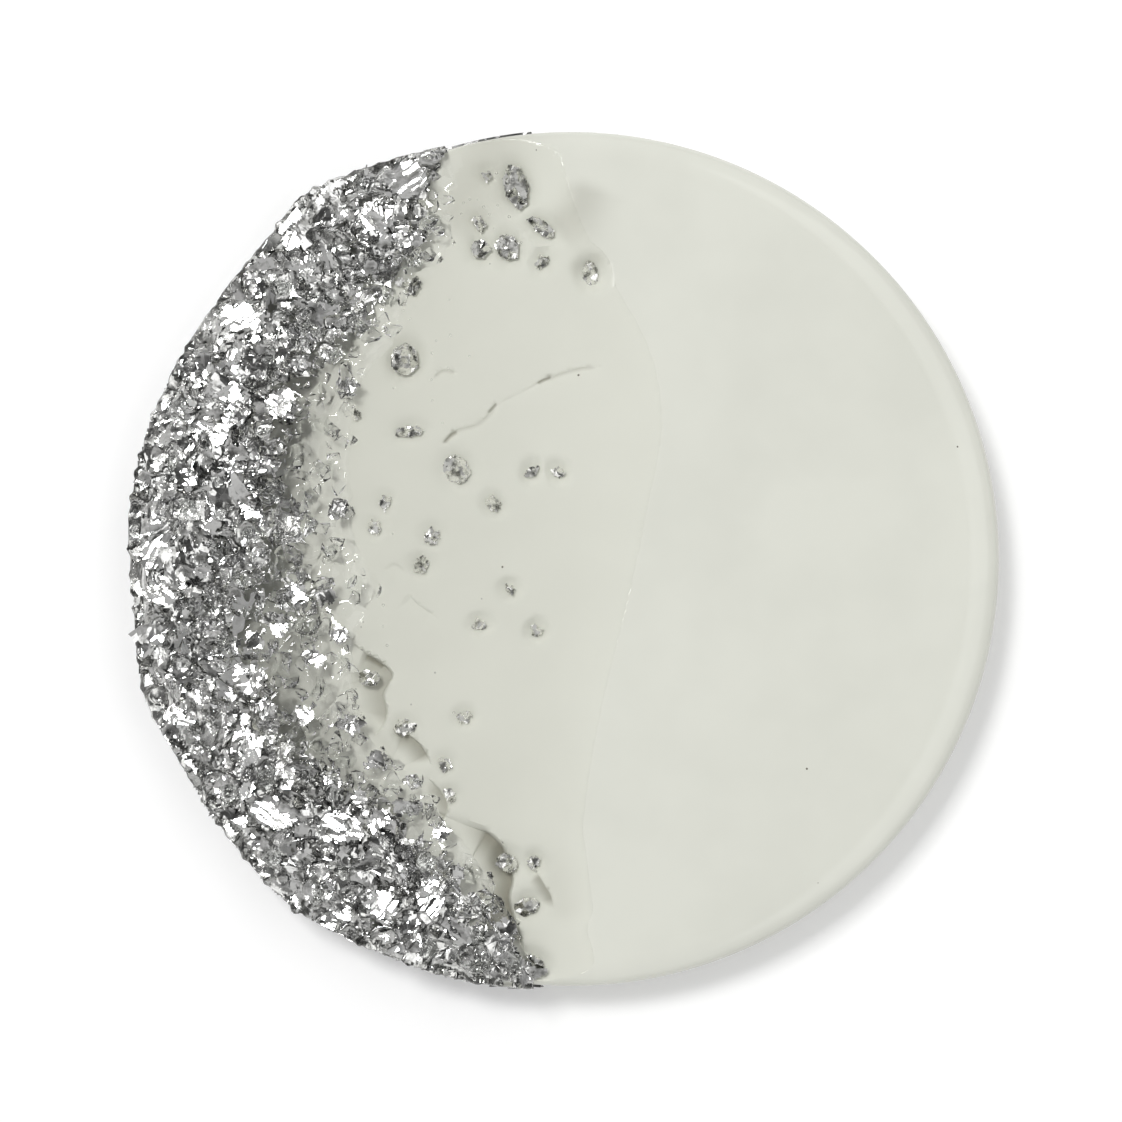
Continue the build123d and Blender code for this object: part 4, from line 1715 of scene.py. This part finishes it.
@dataclass
class Studio:
    """The paper the coaster lies on, the lamps round it and the camera over it."""

    disc: Disc
    light: Light
    paper: StudioPaper = StudioPaper()
    lamp_distance: float = 900.0
    paper_drop: float = 0.02  # how far the paper lies below the base, so that the two never share a plane
    paper_size: float = 4000.0
    key_spread: Point = (14.0, 14.0)  # the angles that the key lamp fills, sideways and up and down
    key_level: float = 25.0
    panel: Light = Light(4.0, 24.0)
    panel_spread: Point = (62.0, 26.0)
    panel_level: float = 1.0
    # (cosine of the angle from straight up, colour): the photographer and the camera darken the middle
    # fmt: off
    sky: tuple[tuple[float, str], ...] = (
        (0.0, "#CACACA"), (0.80, "#BBBBBB"), (0.93, "#868686"), (0.985, "#5A5A5A"), (1.0, "#3C3C3C"),
    )
    # fmt: on
    sky_tilt: float = 0.22  # how much brighter the left of the room is, and how much darker the right
    view_width: float = 130.5
    lens: float = 100.0
    sensor: float = 36.0
    elevation: float = 86.0
    aim: Point = (-1.16, -0.81)

    def add_floor(self) -> None:
        """Lays the paper, wide enough to fill any view."""
        bm = bmesh.new()
        bmesh.ops.create_grid(bm, x_segments=1, y_segments=1, size=self.paper_size)
        mesh = as_mesh(bm, "paper")
        mesh.transform(Matrix.Scale(MM, 4) @ Matrix.Translation((0, 0, -self.paper_drop)))
        mesh.materials.append(self.paper.material())
        put_in_scene("paper", mesh)

    def add_lamp(self, name: str, light: Light, spread: Point, level: float) -> None:
        """Adds one soft box that faces the coaster.

        Args:
            name: The lamp's name.
            light: Where it stands.
            spread: The angles that it fills sideways and up and down.
            level: How bright its face is, where 1 is white.
        """
        away = light.direction()
        data = bpy.data.lights.new(name, "AREA")
        data.shape = "RECTANGLE"
        data.size, data.size_y = (
            2 * self.lamp_distance * MM * math.tan(math.radians(angle / 2)) for angle in spread
        )
        data.energy = level * math.pi * data.size * data.size_y
        lamp = put_in_scene(name, data)
        lamp.location = away * self.lamp_distance * MM
        lamp.rotation_euler = (-away).to_track_quat("-Z", "Y").to_euler()
        lamp.visible_camera = False

    def add_sky(self) -> None:
        """Fills the room with pale light, dim straight above and brighter at the sides."""
        world = bpy.data.worlds.new("room")
        bpy.context.scene.world = world
        world.use_nodes = True
        tree = world.node_tree
        place = add_node(tree, "TexCoord").outputs["Generated"]
        parts = add_node(tree, "SeparateXYZ", {0: place}).outputs
        side = add_node(
            tree, "MapRange", {0: parts["X"], 1: -1.0, 2: 1.0, 3: 1 + self.sky_tilt, 4: 1 - self.sky_tilt}
        )
        background = {"Color": ramp(tree, parts["Z"], self.sky), "Strength": side.outputs[0]}
        feed(tree, tree.nodes["Background"], background)

    def add_camera(self) -> None:
        """Sets the camera over the coaster."""
        distance = self.lens * self.view_width / self.sensor
        target = Vector((*self.aim, self.disc.height))
        rise = math.radians(self.elevation)
        away = Vector((0, -math.cos(rise), math.sin(rise)))
        data = bpy.data.cameras.new("camera")
        data.lens = self.lens
        data.sensor_width = self.sensor
        data.clip_start = 0.01
        camera = put_in_scene("camera", data)
        camera.location = (target + away * distance) * MM
        camera.rotation_euler = (-away).to_track_quat("-Z", "Y").to_euler()
        bpy.context.scene.camera = camera

    def build(self) -> None:
        """Sets up floor, lamps, sky and camera."""
        self.add_floor()
        self.add_lamp("key_softbox", self.light, self.key_spread, self.key_level)
        self.add_lamp("right_panel", self.panel, self.panel_spread, self.panel_level)
        self.add_sky()
        self.add_camera()


@dataclass
class Bubbles:
    """Air trapped in the clear pour, most of it at its deep end."""

    disc: Disc
    pool: Pool
    # (middle, half the spread, count)
    swarms: tuple[tuple[Point, float, int], ...] = (
        ((-10.0, 44.0), 4.0, 16),
        ((-7.0, 38.0), 4.5, 10),
        ((-16.0, 27.0), 6.0, 10),
        ((-17.0, -12.0), 7.0, 8),
        ((-2.0, -38.0), 4.0, 6),
        ((-8.0, 8.0), 14.0, 10),
    )
    depth: float = 0.35
    sizes: tuple[float, float] = (0.09, 0.19)
    clearance: float = 0.05
    finish: ClearEpoxy = ClearEpoxy("trapped_air", "#FFFFFF", 0.0, 0.67)
    seed: int = 211

    def build(self) -> None:
        """Sets the bubbles just under the face, where the pool is deep enough for them."""
        rng = random.Random(self.seed)
        bm = bmesh.new()
        z = self.disc.height - self.depth
        for (east, north), spread, count in self.swarms:
            for _ in range(count):
                x, y = east + rng.uniform(-spread, spread), north + rng.uniform(-spread, spread)
                size = rng.uniform(*self.sizes)
                inside = math.hypot(x, y) < self.disc.radius - self.disc.rim_width
                if inside and self.pool.torn(x, y)[0] <= z - size - self.clearance:
                    place = Matrix.Translation((x, y, z))
                    bmesh.ops.create_icosphere(bm, subdivisions=2, radius=size, matrix=place)
        finish_piece(bm, "trapped_air", self.finish.material(), smooth_angle=60)


@dataclass
class EdgeLeaf:
    """The leaf that was laid round the side of the disc under the crust: rippled, and torn at its ends."""

    disc: Disc
    first: float = 95.5
    last: float = 266.0
    thickness: float = 0.45
    proud: float = 0.3
    foot: float = 0.6
    below_rim: float = 0.06
    rows: int = 14
    turns: int = 340
    ripple: float = 0.05
    ragged: float = 1.6  # how far its ends are torn, in degrees
    # its dull colour is partly painted shade, the dark reflections of crinkled foil
    finish: SilverFoil = SilverFoil("gilded_edge_leaf", "#C2C2C0", "#A0A09E", 2.2, 0.1, 0.22, 1.6, 0.05)

    def build(self) -> None:
        """Spins the band round the disc's axis, ripples it and tears its ends."""
        inner = self.disc.radius + self.proud - self.thickness
        outer = inner + self.thickness
        top = self.disc.height - self.disc.rim_drop - self.below_rim
        heights = np.linspace(self.foot, top, self.rows)
        corners = [(outer, height) for height in heights] + [(inner, height) for height in heights[::-1]]
        bm = bmesh.new()
        face = bm.faces.new([bm.verts.new((radius, 0, height)) for radius, height in corners])
        sweep = math.radians(self.last - self.first)
        bmesh.ops.spin(bm, geom=[face], axis=(0, 0, 1), cent=(0, 0, 0), angle=sweep, steps=self.turns)
        for vert in bm.verts:
            radius, angle = polar(vert.co.x, vert.co.y)
            part = angle / (self.last - self.first)
            tear = self.ragged * noise.noise(Vector((0, part, vert.co.z / 1.1)))
            turn = math.radians(self.first + angle + tear * (2 * part - 1) ** 8)
            if radius > outer - 0.01 and self.foot < vert.co.z < top:
                radius += self.ripple * noise.noise(Vector((angle / 1.5, 0, vert.co.z / 2.0)))
            vert.co.x, vert.co.y = radius * math.cos(turn), radius * math.sin(turn)
        bmesh.ops.recalc_face_normals(bm, faces=bm.faces)
        finish_piece(bm, "edge_leaf", self.finish.material(), ["silver_leaf_band"], 30)


def dress_cad(names: Iterable[str], material: bpy.types.Material) -> None:
    """Gives CAD nodes that keep their shape a finish.

    Args:
        names: The nodes.
        material: Their material.
    """
    for name in names:
        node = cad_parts[name]
        node.data.materials.clear()
        node.data.materials.append(material)
        log.info("%s: dressed", name)


def main() -> None:
    """Builds the coaster and its studio."""
    logging.basicConfig(level=logging.INFO, format="%(message)s")
    noise.seed_set(NOISE_SEED)
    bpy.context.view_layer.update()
    bpy.context.scene.view_settings.view_transform = "Standard"
    disc, light, tearer = Disc(), Light(), FoilTearer()
    crescent = Crescent(disc)
    floating = [island for node in PoolFoil.flakes + PoolFoil.groups for island in islands(node)]
    pool = Pool(disc, floating)
    bond = ResinBond().material()
    WhiteCasting(disc, pool).build()
    ClearCasting(disc, pool, crescent, bond).build()
    skin = Skin(CrustBinder(disc, crescent, ShardKit(), bond).build())
    CrustFoil(disc, crescent, tearer, light, skin).build()
    PoolFoil(tearer).build()
    GlassGrit(crescent, ShardKit(seed=8), skin).build()
    glass = ClearEpoxy("crushed_glass", "#FCFDFC", 0.01, 1.22).material()
    dress_cad([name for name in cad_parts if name.startswith("glass_chips")], glass)
    EdgeLeaf(disc).build()
    Bubbles(disc, pool).build()
    Studio(disc, light).build()


if __name__ == "__main__":
    main()
